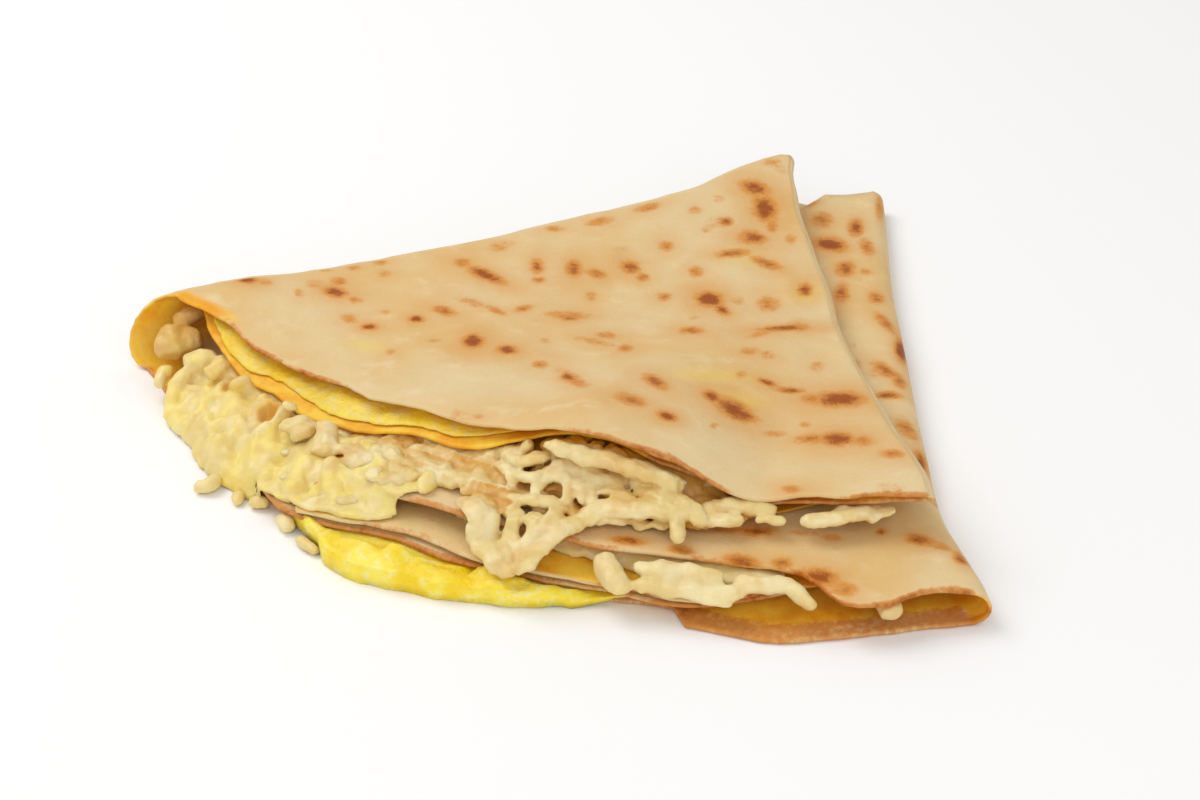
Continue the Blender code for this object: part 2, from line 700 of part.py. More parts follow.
def make_cheese_heap():
    """Main heap of grated cheese between the top flap and the leaves below."""
    cheese = food_material("cheese", (0.86, 0.76, 0.48), 0.45)
    rows = spread(HEAP_ROWS)[:, None]
    turn = 30.0 + 0 * rows
    for _ in range(SOLVE_STEPS):
        reach = heap_reach(rows, turn)
        left = reach[:, -1:]
        right = reach[:, :1]
        last = profile(left, LEFT_FOLD) - np.degrees((profile(left, LEFT_BULGE) + 1.0) / left)
        first = profile(right, TOP_EDGE) + np.degrees(HEAP_EDGE_INSET / right)
        turn = first + (last - first) * spread(HEAP_COLUMNS)
    reach = heap_reach(rows, turn)
    lower = clear_floor(turn, reach, 7.0)
    upper = np.maximum(lower + HEAP_LIP, np.minimum(heap_top(turn, reach), clear_ceiling(turn, reach, 3.0)))
    vertices, faces = slab(place(turn, reach, upper), place(turn, reach, lower))
    core = mesh_object("cheese_heap", vertices, faces, cheese)
    draw = random.Random(SHRED_SEED)
    turns = np.linspace(*SHRED_TURNS, SHRED_COUNT)
    strands = list(named_strands().values()) + melted_strands()
    strands += [random_strand(draw, turn + draw.uniform(-0.8, 0.8)) for turn in turns]
    fuse(core, [strand("shred", points, cheese) for points in strands])
    return core


def make_cheese_lower():
    """Cheese between the two sheets of the middle leaf, which shows below its edge in front."""
    cheese = food_material("cheese lower", (0.86, 0.76, 0.48), 0.45)
    turn = np.linspace(*LOWER_TURNS, LOWER_COLUMNS)[None, :]
    reach = np.array(LOWER_REACHES)[:, None] + 0 * turn
    turn = turn + 0 * reach
    lower = middle_top(turn, reach) - SHEET - middle_gap(turn, reach) + CLEAR
    upper = middle_top(turn, reach) - SHEET - CLEAR
    lip = ramp(reach, 214, 221)
    upper = upper - (upper - lower - 0.8) * lip
    vertices, faces = slab(place(turn, reach, upper), place(turn, reach, lower))
    return mesh_object("cheese_lower", vertices, faces, cheese)


def clear_scene():
    """Start from an empty scene."""
    for found in list(bpy.data.objects):
        bpy.data.objects.remove(found, do_unlink=True)


def main():
    """Build every piece."""
    clear_scene()
    make_crepe()
    make_egg()
    make_cheese_heap()
    make_cheese_lower()


main()
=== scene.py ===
"""A crepe with egg and grated cheese, folded in half and then in three, in a plain studio.

The crepe is one round sheet. Its egg side is folded inwards along a diameter, which gives two
layers, and that half disc is folded in three about the middle of the diameter. So there are
three leaves of two layers each: the top flap, the middle leaf and the bottom leaf.

Shapes are worked out in polar places about the tip of the wedge: "turn" is the angle from the
-Y direction towards -X in degrees, and "reach" is the distance from the tip. Lengths are in
millimetres, and a mesh is scaled to metres when it is made.
"""

from __future__ import annotations

import logging
import math
import random
from dataclasses import dataclass, field
from enum import Enum
from typing import Any, Callable, Sequence

import bmesh
import bpy
import numpy as np
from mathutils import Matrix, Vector


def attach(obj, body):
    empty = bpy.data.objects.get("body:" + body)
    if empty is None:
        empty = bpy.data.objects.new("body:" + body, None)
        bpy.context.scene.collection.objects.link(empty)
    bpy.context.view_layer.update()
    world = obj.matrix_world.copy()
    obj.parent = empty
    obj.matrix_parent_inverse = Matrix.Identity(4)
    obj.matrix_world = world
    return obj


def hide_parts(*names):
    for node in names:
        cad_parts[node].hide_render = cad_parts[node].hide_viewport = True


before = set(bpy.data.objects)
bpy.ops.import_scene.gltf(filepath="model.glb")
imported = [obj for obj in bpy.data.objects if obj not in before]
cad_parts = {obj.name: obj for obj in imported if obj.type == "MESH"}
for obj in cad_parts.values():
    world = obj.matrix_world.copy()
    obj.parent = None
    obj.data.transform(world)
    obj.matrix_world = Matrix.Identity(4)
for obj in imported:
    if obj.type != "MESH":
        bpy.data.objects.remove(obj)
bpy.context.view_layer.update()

log = logging.getLogger("crepe")

MM = 0.001
Knots = Sequence[tuple[float, float]]
Grid = np.ndarray
Height = Callable[[Grid, Grid], Grid]
Rim = Callable[[Grid], Grid]

APEX = (96.1, 121.2)
SHEET = 1.3
CLEAR = 0.3
BETWEEN_LEAVES = 0.45
FLAT_HALF_TURN = 62.5
RIM_ARC = 3.6
NO_LIMIT = 99.0
SOFT_DEPTH = 0.003


def profile(place: Grid, knots: Knots) -> Grid:
    """Smooth curve through a few (place, value) knots, level past its ends.

    Args:
        place: Where the curve is read.
        knots: Pairs of place and value, in rising order of place.

    Returns:
        The value at each place.
    """
    at = np.array([knot[0] for knot in knots], float)
    value = np.array([knot[1] for knot in knots], float)
    step = np.diff(at)
    slope = np.diff(value) / step
    tangent = np.zeros(len(at))
    flat = slope[:-1] * slope[1:] <= 0
    blended = (slope[:-1] * step[1:] + slope[1:] * step[:-1]) / (step[:-1] + step[1:])
    tangent[1:-1] = np.where(flat, 0.0, blended)
    place = np.clip(np.asarray(place, float), at[0], at[-1])
    piece = np.clip(np.searchsorted(at, place, side="right") - 1, 0, len(step) - 1)
    part = (place - at[piece]) / step[piece]
    rise = step[piece]
    start = (2 * part**3 - 3 * part**2 + 1) * value[piece]
    start = start + (part**3 - 2 * part**2 + part) * rise * tangent[piece]
    end = (3 * part**2 - 2 * part**3) * value[piece + 1]
    return start + end + (part**3 - part**2) * rise * tangent[piece + 1]


def ramp(value: Grid, low: Grid, high: Grid) -> Grid:
    """Smooth step from 0 at low to 1 at high."""
    part = np.clip((np.asarray(value, float) - low) / (high - low), 0.0, 1.0)
    return part * part * (3 - 2 * part)


def chance(corner: Grid, seed: float) -> Grid:
    """Repeatable number from 0 to 1 for each whole-number corner."""
    mixed = np.sin(corner @ np.array([127.1, 311.7, 74.7]) + seed) * 43758.5453
    return mixed - np.floor(mixed)


def lumps(points: Grid, size: float, seed: float, octaves: int = 1) -> Grid:
    """Smooth unevenness between about -1 and 1.

    Args:
        points: Places, with 3 coordinates in the last axis.
        size: Width of the largest lumps.
        seed: Number that picks the pattern.
        octaves: How many times finer lumps are added.

    Returns:
        The unevenness at each place.
    """
    total = np.zeros(points.shape[:-1])
    weight = 1.0
    whole = 0.0
    for octave in range(octaves):
        spot = points / size * 2**octave
        corner = np.floor(spot)
        part = spot - corner
        part = part * part * (3 - 2 * part)
        for index in range(8):
            offset = np.array([index & 1, index >> 1 & 1, index >> 2 & 1], float)
            share = np.prod(np.where(offset == 1, part, 1 - part), axis=-1)
            total += weight * share * (2 * chance(corner + offset, seed + 17 * octave) - 1)
        whole += weight
        weight *= 0.5
    return total / whole * 1.6


def polar(turn: Grid, reach: Grid, height: Grid) -> Grid:
    """Polar places to model coordinates in millimetres."""
    angle = np.radians(turn)
    parts = np.broadcast_arrays(APEX[0] - reach * np.sin(angle), APEX[1] - reach * np.cos(angle), height)
    return np.stack(parts, axis=-1)


def unpolar(points: Grid) -> tuple[Grid, Grid]:
    """Model coordinates in millimetres to turn and reach."""
    across = APEX[0] - points[..., 0]
    along = APEX[1] - points[..., 1]
    return np.degrees(np.arctan2(across, along)), np.hypot(across, along)


def spread(count: int) -> Grid:
    """Even steps from 0 to 1."""
    return np.linspace(0.0, 1.0, count)


def rim_place(turn: Grid, across: Grid = 0.0, other: Grid = 0.0, arc: float = RIM_ARC) -> Grid:
    """Places along a rim that an uneven pattern is read at.

    Args:
        turn: Degrees along the rim.
        across: Second coordinate, which picks the pattern.
        other: Third coordinate.
        arc: Millimetres of the pattern for each degree.

    Returns:
        The places, with 3 coordinates in the last axis.
    """
    return np.stack([turn * arc, 0 * turn + across, 0 * turn + other], axis=-1)


def by_leaf(leaf: Grid, values: Sequence[Grid]) -> Grid:
    """Of three values, the one for the leaf that each point is nearest to."""
    return np.where(leaf < 0.5, values[0], np.where(leaf < 1.5, values[1], values[2]))


def srgb(red: float, green: float, blue: float) -> tuple[float, float, float, float]:
    """Colour given as 0 to 255 screen values, as the linear colour that a shader takes."""
    parts = [part / 255 for part in (red, green, blue)]
    linear = [part / 12.92 if part < 0.04045 else ((part + 0.055) / 1.055) ** 2.4 for part in parts]
    return (linear[0], linear[1], linear[2], 1.0)


# Shader building


def add_node(tree: bpy.types.NodeTree, kind: str, settings: dict[str, Any], inputs: dict[Any, Any]) -> Any:
    """Adds one node to a tree.

    Args:
        tree: The node tree.
        kind: Blender's node type.
        settings: The node's own settings, which are set before its sockets.
        inputs: Numbers, sockets or values for its inputs, by name or number.

    Returns:
        The node.
    """
    made = tree.nodes.new(kind)
    for name, value in settings.items():
        setattr(made, name, value)
    for name, value in inputs.items():
        source = value.socket if isinstance(value, Value) else value
        if isinstance(source, bpy.types.NodeSocket):
            tree.links.new(source, made.inputs[name])
        else:
            made.inputs[name].default_value = source
    return made


class Value:
    """Number socket that adds Math nodes where it is used in an expression."""

    def __init__(self, finish: Shades, socket: Any) -> None:
        """Keeps the socket and the shades that own its node tree."""
        self.finish = finish
        self.socket = socket

    def maths(self, operation: str, *parts: Any, clamp: bool = False) -> Value:
        """One Math node on this value and others.

        Args:
            operation: Blender's name of the operation.
            parts: All inputs in order, numbers or values.
            clamp: Whether the result stays between 0 and 1.

        Returns:
            The result.
        """
        settings = {"operation": operation, "use_clamp": clamp}
        made = self.finish.add("ShaderNodeMath", settings, dict(enumerate(parts)))
        return Value(self.finish, made.outputs[0])

    def __add__(self, other: Any) -> Value:
        """Sum."""
        return self.maths("ADD", self, other)

    def __radd__(self, other: Any) -> Value:
        """Sum with a plain number first."""
        return self.maths("ADD", other, self)

    def __sub__(self, other: Any) -> Value:
        """Difference."""
        return self.maths("SUBTRACT", self, other)

    def __rsub__(self, other: Any) -> Value:
        """Difference from a plain number."""
        return self.maths("SUBTRACT", other, self)

    def __mul__(self, other: Any) -> Value:
        """Product."""
        return self.maths("MULTIPLY", self, other)

    def __rmul__(self, other: Any) -> Value:
        """Product with a plain number first."""
        return self.maths("MULTIPLY", other, self)

    def above(self, low: float, high: float) -> Value:
        """Smooth step from 0 at low to 1 at high."""
        inputs = {"Value": self, "From Min": low, "From Max": high}
        made = self.finish.add("ShaderNodeMapRange", {"interpolation_type": "SMOOTHSTEP"}, inputs)
        return Value(self.finish, made.outputs[0])

    def kept(self) -> Value:
        """The value held between 0 and 1."""
        return self.maths("ADD", self, 0.0, clamp=True)


class Shades:
    """One material and its node tree."""

    def __init__(self, name: str, shine: float, soft: float = 0.0, depth: tuple = (1.0, 1.0, 1.0)) -> None:
        """Starts the material.

        Args:
            name: Name of the material.
            shine: Specular level.
            soft: Share of the light that goes in under the surface.
            depth: How deep red, green and blue light go, against each other.
        """
        self.material = bpy.data.materials.new(name)
        self.material.use_nodes = True
        self.tree = self.material.node_tree
        self.surface = self.tree.nodes["Principled BSDF"]
        self.surface.inputs["Specular IOR Level"].default_value = shine
        self.surface.inputs["Subsurface Weight"].default_value = soft
        self.surface.inputs["Subsurface Radius"].default_value = depth
        self.surface.inputs["Subsurface Scale"].default_value = SOFT_DEPTH

    def add(self, kind: str, settings: dict[str, Any], inputs: dict[Any, Any]) -> Any:
        """Adds one node to the material, as add_node does."""
        return add_node(self.tree, kind, settings, inputs)

    def number(self, name: str) -> Value:
        """Number kept on the mesh under a name."""
        made = self.add("ShaderNodeAttribute", {"attribute_name": name}, {})
        return Value(self, made.outputs["Fac"])

    def place(self, name: str = "") -> Any:
        """Socket of a place kept on the mesh under a name, or of the object's own coordinates."""
        if name:
            return self.add("ShaderNodeAttribute", {"attribute_name": name}, {}).outputs["Vector"]
        return self.add("ShaderNodeTexCoord", {}, {}).outputs["Object"]

    def noise(
        self, place: Any, scale: float, detail: float = 2.0, rough: float = 0.5, twist: float = 0.0
    ) -> Value:
        """Cloudy pattern from 0 to 1."""
        inputs = {"Vector": place, "Scale": scale, "Detail": detail, "Roughness": rough, "Distortion": twist}
        return Value(self, self.add("ShaderNodeTexNoise", {}, inputs).outputs["Fac"])

    def cells(self, place: Any, scale: float) -> tuple[Value, Value]:
        """Distance to the nearest of many scattered points, and a random number for each."""
        made = self.add("ShaderNodeTexVoronoi", {}, {"Vector": place, "Scale": scale})
        parted = self.add("ShaderNodeSeparateColor", {}, {0: made.outputs["Color"]})
        return Value(self, made.outputs["Distance"]), Value(self, parted.outputs[0])

    def moved(self, place: Any, scale: float, amount: float) -> Any:
        """A place pushed about by a cloudy pattern, which makes edges uneven."""
        cloud = self.add("ShaderNodeTexNoise", {}, {"Vector": place, "Scale": scale, "Detail": 3.0})
        inputs = {0: cloud.outputs["Color"], 1: (0.5, 0.5, 0.5)}
        centred = self.add("ShaderNodeVectorMath", {"operation": "SUBTRACT"}, inputs)
        inputs = {0: centred.outputs[0], "Scale": amount}
        grown = self.add("ShaderNodeVectorMath", {"operation": "SCALE"}, inputs)
        inputs = {0: place, 1: grown.outputs[0]}
        return self.add("ShaderNodeVectorMath", {"operation": "ADD"}, inputs).outputs[0]

    def blend(self, share: Any, first: Any, second: Any) -> Any:
        """Colour socket between two colours, each a socket or 0 to 255 screen values."""
        ends = [srgb(*colour) if isinstance(colour, tuple) else colour for colour in (first, second)]
        return self.add("ShaderNodeMix", {"data_type": "RGBA"},
                        {0: share, 6: ends[0], 7: ends[1]}).outputs[2]

    def bumps(self, layers: Sequence[tuple[Value, float, float]]) -> None:
        """Relief of the surface.

        Args:
            layers: Height pattern, strength and distance in metres of each layer.
        """
        normal = None
        for height, strength, distance in layers:
            inputs = {"Height": height, "Strength": strength, "Distance": distance}
            if normal is not None:
                inputs["Normal"] = normal
            normal = self.add("ShaderNodeBump", {}, inputs).outputs[0]
        self.tree.links.new(normal, self.surface.inputs["Normal"])

    def paint(self, colour: Any, rough: Value) -> bpy.types.Material:
        """Joins colour and roughness to the surface and gives the finished material."""
        self.tree.links.new(colour, self.surface.inputs["Base Color"])
        self.tree.links.new(rough.socket, self.surface.inputs["Roughness"])
        return self.material


@dataclass(frozen=True)
class BatterFinish:
    """Browned skin of the crepe, and its golden inside soaked with egg; the same gold is also painted as
    warm shade inside the left fold and as light in the right bend.
    """

    cream: tuple = (226, 202, 154)
    warm: tuple = (223, 186, 124)
    pale: tuple = (236, 216, 172)
    tan: tuple = (218, 162, 92)
    yellow: tuple = (234, 208, 92)
    halo: tuple = (212, 140, 56)
    core: tuple = (158, 80, 16)
    char: tuple = (106, 48, 8)
    gold: tuple = (248, 204, 66)
    deep_gold: tuple = (236, 160, 26)
    rim: tuple = (202, 122, 36)

    def make(self) -> bpy.types.Material:
        """The material, which reads the mesh's flat place and its toast, rim and egg numbers; the egg number
        also holds painted shade and light inside the folds.
        """
        shades = Shades("batter", 0.2, 0.12, (1.0, 0.7, 0.35))
        flat = shades.place("flat")
        wide = shades.noise(flat, 0.028, 3.0)
        middle = shades.noise(flat, 0.11, 4.0, 0.6)
        fine = shades.noise(flat, 0.55, 4.0, 0.65)
        pores = shades.noise(flat, 1.9, 2.0, 0.6)
        base = shades.blend(wide.above(0.35, 0.68), self.cream, self.warm)
        base = shades.blend(middle.above(0.52, 0.75) * 0.55, base, self.pale)
        base = shades.blend(fine.above(0.5, 0.8) * 0.35, base, self.warm)
        base = shades.blend((shades.number("halo") * (0.3 + 1.3 * middle)).kept() * 0.95, base, self.tan)
        base = shades.blend((shades.number("stain") * (0.4 + fine)).kept() * 0.6, base, self.yellow)
        ragged = shades.moved(flat, 0.35, 3.4)
        gap, pick = shades.cells(ragged, 0.062)
        dots = (pick.above(0.5, 1.0) * 0.33 - gap).above(-0.04, 0.16)
        toast = shades.number("toast") + shades.number("speckle") * dots * (0.35 + 0.55 * pick)
        edge = (fine - 0.5) * 0.7 + (middle - 0.5) * 0.45 + (pores - 0.5) * 0.25
        heat = (toast + edge * toast.above(0.02, 0.3)).kept()
        toasted = shades.blend(heat.above(0.05, 0.45) * 0.85, base, self.halo)
        toasted = shades.blend(heat.above(0.4, 0.82), toasted, self.core)
        toasted = shades.blend(heat.above(0.85, 1.25) * 0.8, toasted, self.char)
        # Egg gold, which also carries painted shade inside the left fold and painted light in the right
        # bend's hollow.
        egg = shades.number("egg")
        gold = shades.blend(middle.above(0.35, 0.7), self.gold, self.deep_gold)
        colour = shades.blend((egg + (fine - 0.5) * 0.6 * egg.above(0.0, 0.25)).kept(), toasted, gold)
        rim = shades.number("rim")
        fringe = (fine - 0.5) * 1.1 * rim.above(0.0, 0.3) + (middle - 0.5) * 0.8 * rim.above(0.0, 0.3)
        crisp = (rim + fringe).kept()
        colour = shades.blend(crisp.above(0.12, 0.6) * 0.8, colour, self.rim)
        colour = shades.blend(crisp.above(0.6, 1.0) * 0.8, colour, self.core)
        shades.bumps([(middle, 0.35, 0.0012), (fine, 0.3, 0.0005), (pores, 0.22, 0.0003)])
        return shades.paint(colour, 0.46 + fine * 0.22 - egg * 0.1)


@dataclass(frozen=True)
class EggFinish:
    """Set egg: strong yellow with paler flecks."""

    yellow: tuple = (246, 212, 20)
    bright: tuple = (252, 232, 84)
    fleck: tuple = (246, 234, 146)
    amber: tuple = (226, 150, 16)

    def make(self) -> bpy.types.Material:
        """The material, which reads the mesh's amber number where the egg is in the fold."""
        shades = Shades("egg", 0.45, 0.2, (1.0, 0.6, 0.15))
        place = shades.place()
        wide = shades.noise(place, 90.0, 3.0, 0.6)
        fine = shades.noise(place, 420.0, 4.0, 0.65, 0.4)
        grain = shades.noise(place, 1500.0, 2.0, 0.6)
        colour = shades.blend(wide.above(0.35, 0.65), self.yellow, self.bright)
        colour = shades.blend((fine.above(0.46, 0.66) * wide.above(0.34, 0.54)) * 0.9, colour, self.fleck)
        amber = shades.number("amber")
        colour = shades.blend((amber + (fine - 0.5) * amber).kept(), colour, self.amber)
        shades.bumps([(wide, 0.5, 0.0016), (fine, 0.6, 0.0009), (grain, 0.3, 0.0003)])
        return shades.paint(colour, 0.3 + fine * 0.25)


@dataclass(frozen=True)
class CheeseFinish:
    """Grated cheese, creamy where it is bare, with a warm painted shade where it sits deep in the fold and
    in its hollows.
    """

    cream: tuple = (224, 199, 134)
    light: tuple = (236, 220, 172)
    tan: tuple = (212, 164, 84)
    butter: tuple = (240, 216, 112)
    # Painted shade colour for cheese deep in the fold, behind other cheese and in hollows.
    painted_shade: tuple = (208, 146, 26)

    def make(self) -> bpy.types.Material:
        """The material, which reads the mesh's painted shade number and its butter number."""
        shades = Shades("cheese", 0.5, 0.35, (1.0, 0.75, 0.4))
        place = shades.place()
        wide = shades.noise(place, 110.0, 3.0, 0.6)
        fine = shades.noise(place, 700.0, 3.0, 0.6)
        colour = shades.blend(wide.above(0.38, 0.66), self.cream, self.light)
        patches = shades.noise(place, 75.0, 2.0, 0.5, 0.4)
        colour = shades.blend(patches.above(0.5, 0.68) * 0.55, colour, self.tan)
        butter = shades.number("butter")
        pools = shades.noise(place, 150.0, 2.0, 0.5, 0.6)
        share = butter * (pools.above(0.36, 0.68) * 0.9 + 0.35) + (fine - 0.5) * 0.5 * butter
        colour = shades.blend(share.kept(), colour, self.butter)
        # Painted shade: darker golden colour where the cheese lies in recesses and deep in the fold.
        painted_shade = shades.number("painted_shade")
        colour = shades.blend((painted_shade + (fine - 0.5) * 0.3 * painted_shade).kept(), colour, self.painted_shade)
        grain = shades.noise(place, 1900.0, 2.0, 0.6)
        shades.bumps([(wide, 0.35, 0.0012), (fine, 0.45, 0.0005), (grain, 0.3, 0.0002)])
        return shades.paint(colour, 0.36 + fine * 0.2)


@dataclass(frozen=True)
class FloorFinish:
    """Plain pale floor."""

    tone: tuple = (250, 250, 250)
    grain: tuple = (236, 236, 236)

    def make(self) -> bpy.types.Material:
        """The material, with a barely visible grain."""
        shades = Shades("floor", 0.2)
        grain = shades.noise(shades.place(), 40.0, 3.0)
        colour = shades.blend(grain * 0.04, self.tone, self.grain)
        return shades.paint(colour, 0.55 + grain * 0.1)


# The folded sheet


class Leaf(Enum):
    """The three leaves of the folded sheet, from the top flap down the band."""

    TOP = 0
    BOTTOM = 1
    MIDDLE = 2


@dataclass
class Fold:
    """Lines, rims and heights of the folded sheet, which every piece is set against."""

    back_reach: Knots = ((-2, 20), (17, 22.5), (28, 25.5), (40, 29), (52, 31.5), (58, 34), (63, 39))
    left_fold: Knots = ((30, 64), (45, 63.5), (66, 59.8), (95, 60.2), (150, 61.8), (215, 62.6))
    right_fold: Knots = (
        (0, -0.6), (46, 1.4), (69, 2), (106, 1.4), (155, 0.9), (190, 0.3), (205, -0.7), (222, -1.5),
    )
    top_edge: Knots = (
        (30, 53), (35, 47), (43, 36.5), (57, 26), (88, 13.8), (116, 9.4), (141, 6), (165, 3.8), (186, 1.9),
        (215, 1.7),
    )
    middle_edge: Knots = ((0, 41), (80, 39), (215, 39.5))
    left_bulge: Knots = ((30, 3.2), (45, 4.5), (80, 7.5))
    right_bulge: Knots = ((20, 4.4), (60, 5.6))
    rim_bulge: float = 5.0
    bulge_steps: int = 8
    edge_steps: int = 5
    solve_steps: int = 16
    top_rim_a: Knots = (
        (0, 196.5), (10, 199.2), (20, 201.7), (31, 203.7), (40, 204.8), (51, 205.5), (57, 208), (62, 212),
    )
    top_rim_b: Knots = (
        (0, 194.5), (10, 196.5), (20, 198.5), (26, 200), (33, 206.5), (42, 211), (51, 210.5), (57, 208.5),
        (62, 206),
    )
    bottom_rim_a: Knots = (
        (-2, 218), (3, 221.5), (8, 227.5), (15.4, 228.6), (16.6, 222.5), (20, 224), (26, 228), (34, 233.5),
        (40, 232), (46, 227), (54, 222), (62, 221),
    )
    bottom_rim_b: Knots = (
        (-2, 196), (5, 198), (9, 211), (13, 221), (20, 225), (27, 228.5), (33, 231), (39, 235), (45, 228),
        (54, 217), (62, 208),
    )
    middle_rim_a: Knots = (
        (-2, 219.3), (2.6, 219.8), (4.8, 225.4), (7, 224.8), (8.8, 217.5), (12, 216), (17, 217.8),
        (24, 220.5), (31, 223.5), (36, 223.5), (40, 221),
    )
    middle_rim_b: Knots = (
        (-2, 196), (5, 198), (9, 212), (13, 221.5), (20, 225.5), (27, 228), (33, 230.5), (40, 235),
    )
    top_rim_height: Knots = (
        (-2, 19.5), (4, 20), (9, 19), (12.4, 17.9), (15, 20.3), (18.5, 25.4), (22, 28.4), (25.2, 29.3),
        (28, 26.5), (31, 23.8), (36, 23.4), (40, 21.6), (46, 18.7), (52, 17.3), (62, 17),
    )
    bottom_gap_front: Knots = (
        (-2, 1.4), (12, 1.3), (20, 1.4), (27, 2.6), (33, 3.8), (40, 2.6), (50, 2.2), (62, 2.2),
    )
    middle_gap_front: Knots = ((-2, 2), (6, 2.5), (12, 3.6), (20, 4.6), (30, 4.2), (40, 2.8))
    top_droop: Knots = ((-2, 0), (24, 0.2), (33, 2.6), (42, 3.8), (51, 3.5), (57, 2.2), (62, 0.8))
    egg_rim: Knots = (
        (-2, 186), (8, 200), (14, 215), (17, 221), (21, 226), (25, 235), (29, 239.5), (34, 240.5), (38, 237),
        (42, 229), (50, 218), (62, 202),
    )
    mouth_lift: float = 2.6
    gap_back: float = 1.4
    top_gap_size: float = 1.7

    def rim(self, knots: Knots, phase: float) -> Rim:
        """Rim reach as a function of turn, with coarse and fine raggedness."""
        turn = np.linspace(-12.0, 72.0, 3400)
        coarse = 0.6 * np.sin(turn * 0.53 + phase) + 0.4 * np.sin(turn * 0.97 + 2 * phase)
        reach = profile(turn, knots) + coarse + 0.42 * lumps(rim_place(turn, phase * 9), 5.0, phase, 3)
        return lambda at: np.interp(at, turn, reach)

    def rims(self, inside: bool) -> list[Rim]:
        """Rims of the outside or the inside layer on the three leaves."""
        if inside:
            knots, phases = (self.top_rim_b, self.bottom_rim_b, self.middle_rim_b), (4.1, 5.3, 6.0)
        else:
            knots, phases = (self.top_rim_a, self.bottom_rim_a, self.middle_rim_a), (0.4, 1.9, 3.2)
        return [self.rim(*pair) for pair in zip(knots, phases)]

    def pinch(self, reach: Grid) -> Grid:
        """Share of the usual space between two layers, less where they are pressed together."""
        return 0.45 + 0.55 * ramp(reach, 30, 75)

    def gap(self, leaf: Leaf, turn: Grid, reach: Grid) -> Grid:
        """Space between the two layers of a leaf."""
        if leaf is Leaf.TOP:
            rim = profile(turn, self.top_rim_a)
            droop = profile(turn, self.top_droop) * ramp(reach, rim - 12, rim + 10)
            return self.top_gap_size * self.pinch(reach) + droop
        if leaf is Leaf.BOTTOM:
            knots, start, end = self.bottom_gap_front, 150, 216
        else:
            knots, start, end = self.middle_gap_front, 140, 212
        opened = (profile(turn, knots) - self.gap_back) * ramp(reach, start, end)
        return self.gap_back * self.pinch(reach) + opened

    def uneven(self, turn: Grid, reach: Grid) -> Grid:
        """Gentle unevenness of the top of the crepe, between about -1 and 1."""
        across = np.radians(turn) * 200
        return (
            0.45 * np.sin(across / 17 + reach / 31)
            + 0.35 * np.sin(across / 9 - reach / 23 + 1.3)
            + 0.25 * np.sin(across / 5.5 + reach / 14 + 2.1)
        )

    def crinkle(self, turn: Grid, reach: Grid) -> Grid:
        """Small dents and blisters of the sheet, in millimetres."""
        spot = polar(turn, reach, 0.0 * np.asarray(reach, float))
        return 0.26 * lumps(spot, 15.0, 3.0, 2) + 0.13 * lumps(spot, 5.0, 8.0, 2)

    def bottom_top(self, turn: Grid, reach: Grid) -> Grid:
        """Height of the upper face of the bottom leaf."""
        return 2 * SHEET + self.gap(Leaf.BOTTOM, turn, reach)

    def middle_top(self, turn: Grid, reach: Grid) -> Grid:
        """Height of the upper face of the middle leaf."""
        below = self.bottom_top(turn, reach) + BETWEEN_LEAVES
        return below + 2 * SHEET + self.gap(Leaf.MIDDLE, turn, reach)

    def flap_top(self, turn: Grid, reach: Grid) -> Grid:
        """Height of the upper face of the top flap."""
        back = 14.7 + 1.4 * ramp(turn, 15, 62) + 2.2 * np.exp(-reach / 45)
        back = back + 0.5 * self.uneven(turn, reach) * ramp(reach, 60, 110)
        front = profile(turn, self.top_rim_height)
        lifted = self.mouth_lift * ramp(turn, 49, 60) * ramp(reach, 160, 206)
        return back + (front - back) * ramp(reach, 96, 206) ** 1.25 + lifted

    def flap_underside(self, turn: Grid, reach: Grid) -> Grid:
        """Height of the lower face of the top flap."""
        return self.flap_top(turn, reach) - 2 * SHEET - self.gap(Leaf.TOP, turn, reach)

    def outside(self, leaf: Leaf, turn: Grid, reach: Grid) -> Grid:
        """Height of the outside face of a leaf, with its small dents."""
        if leaf is Leaf.TOP:
            return self.flap_top(turn, reach) + self.crinkle(turn, reach)
        if leaf is Leaf.MIDDLE:
            return self.middle_top(turn, reach) + 0.8 * self.crinkle(turn, reach)
        return 0.0 * turn * reach

    def way(self, leaf: Leaf) -> int:
        """Which way is inwards from the outside of a leaf, down or up."""
        return 1 if leaf is Leaf.BOTTOM else -1

    def column_reach(self, rows: Grid, turn: Grid, rim: Grid) -> Grid:
        """Reach of each row on a column, from the blunt back of the wedge out to the rim."""
        start = profile(turn, self.back_reach)
        return start + rows * (rim - start)

    def edge_turn(self, rows: Grid, knots: Knots, rim: Rim, offset: Callable[[Grid], Grid]) -> Grid:
        """Turn of a line a given offset beside a fold line, solved by repeated steps.

        Args:
            rows: Row shares from the back to the rim.
            knots: The fold line, as turn by reach.
            rim: Rim that the rows end at.
            offset: Millimetres beside the fold line by reach.

        Returns:
            The turn of the line at each row.
        """
        turn = np.full_like(rows, knots[-1][1])
        for _ in range(self.solve_steps):
            reach = self.column_reach(rows, turn, rim(turn))
            turn = (turn + profile(reach, knots) + np.degrees(offset(reach) / reach)) / 2
        return turn


@dataclass
class Band:
    """Points of one face of the folded band, as grids of rows by columns."""

    turn: Grid
    reach: Grid
    height: Grid
    flat: Grid
    leaf: Grid

    def points(self) -> Grid:
        """Model coordinates in millimetres."""
        return polar(self.turn, self.reach, self.height)

    def flat_places(self, side: float) -> Grid:
        """Where each point lies on the sheet before it was folded, with the layers side by side."""
        angle = np.radians(self.flat)
        places = [side * self.reach * np.sin(angle), self.reach * np.cos(angle), 0 * self.reach + 40 * side]
        return np.stack(places, axis=-1)

    @staticmethod
    def each(change: Callable[..., Grid], *bands: Band) -> Band:
        """Band made by one change of every grid of other bands."""
        grids = [(band.turn, band.reach, band.height, band.flat, band.leaf) for band in bands]
        return Band(*[change(*parts) for parts in zip(*grids)])


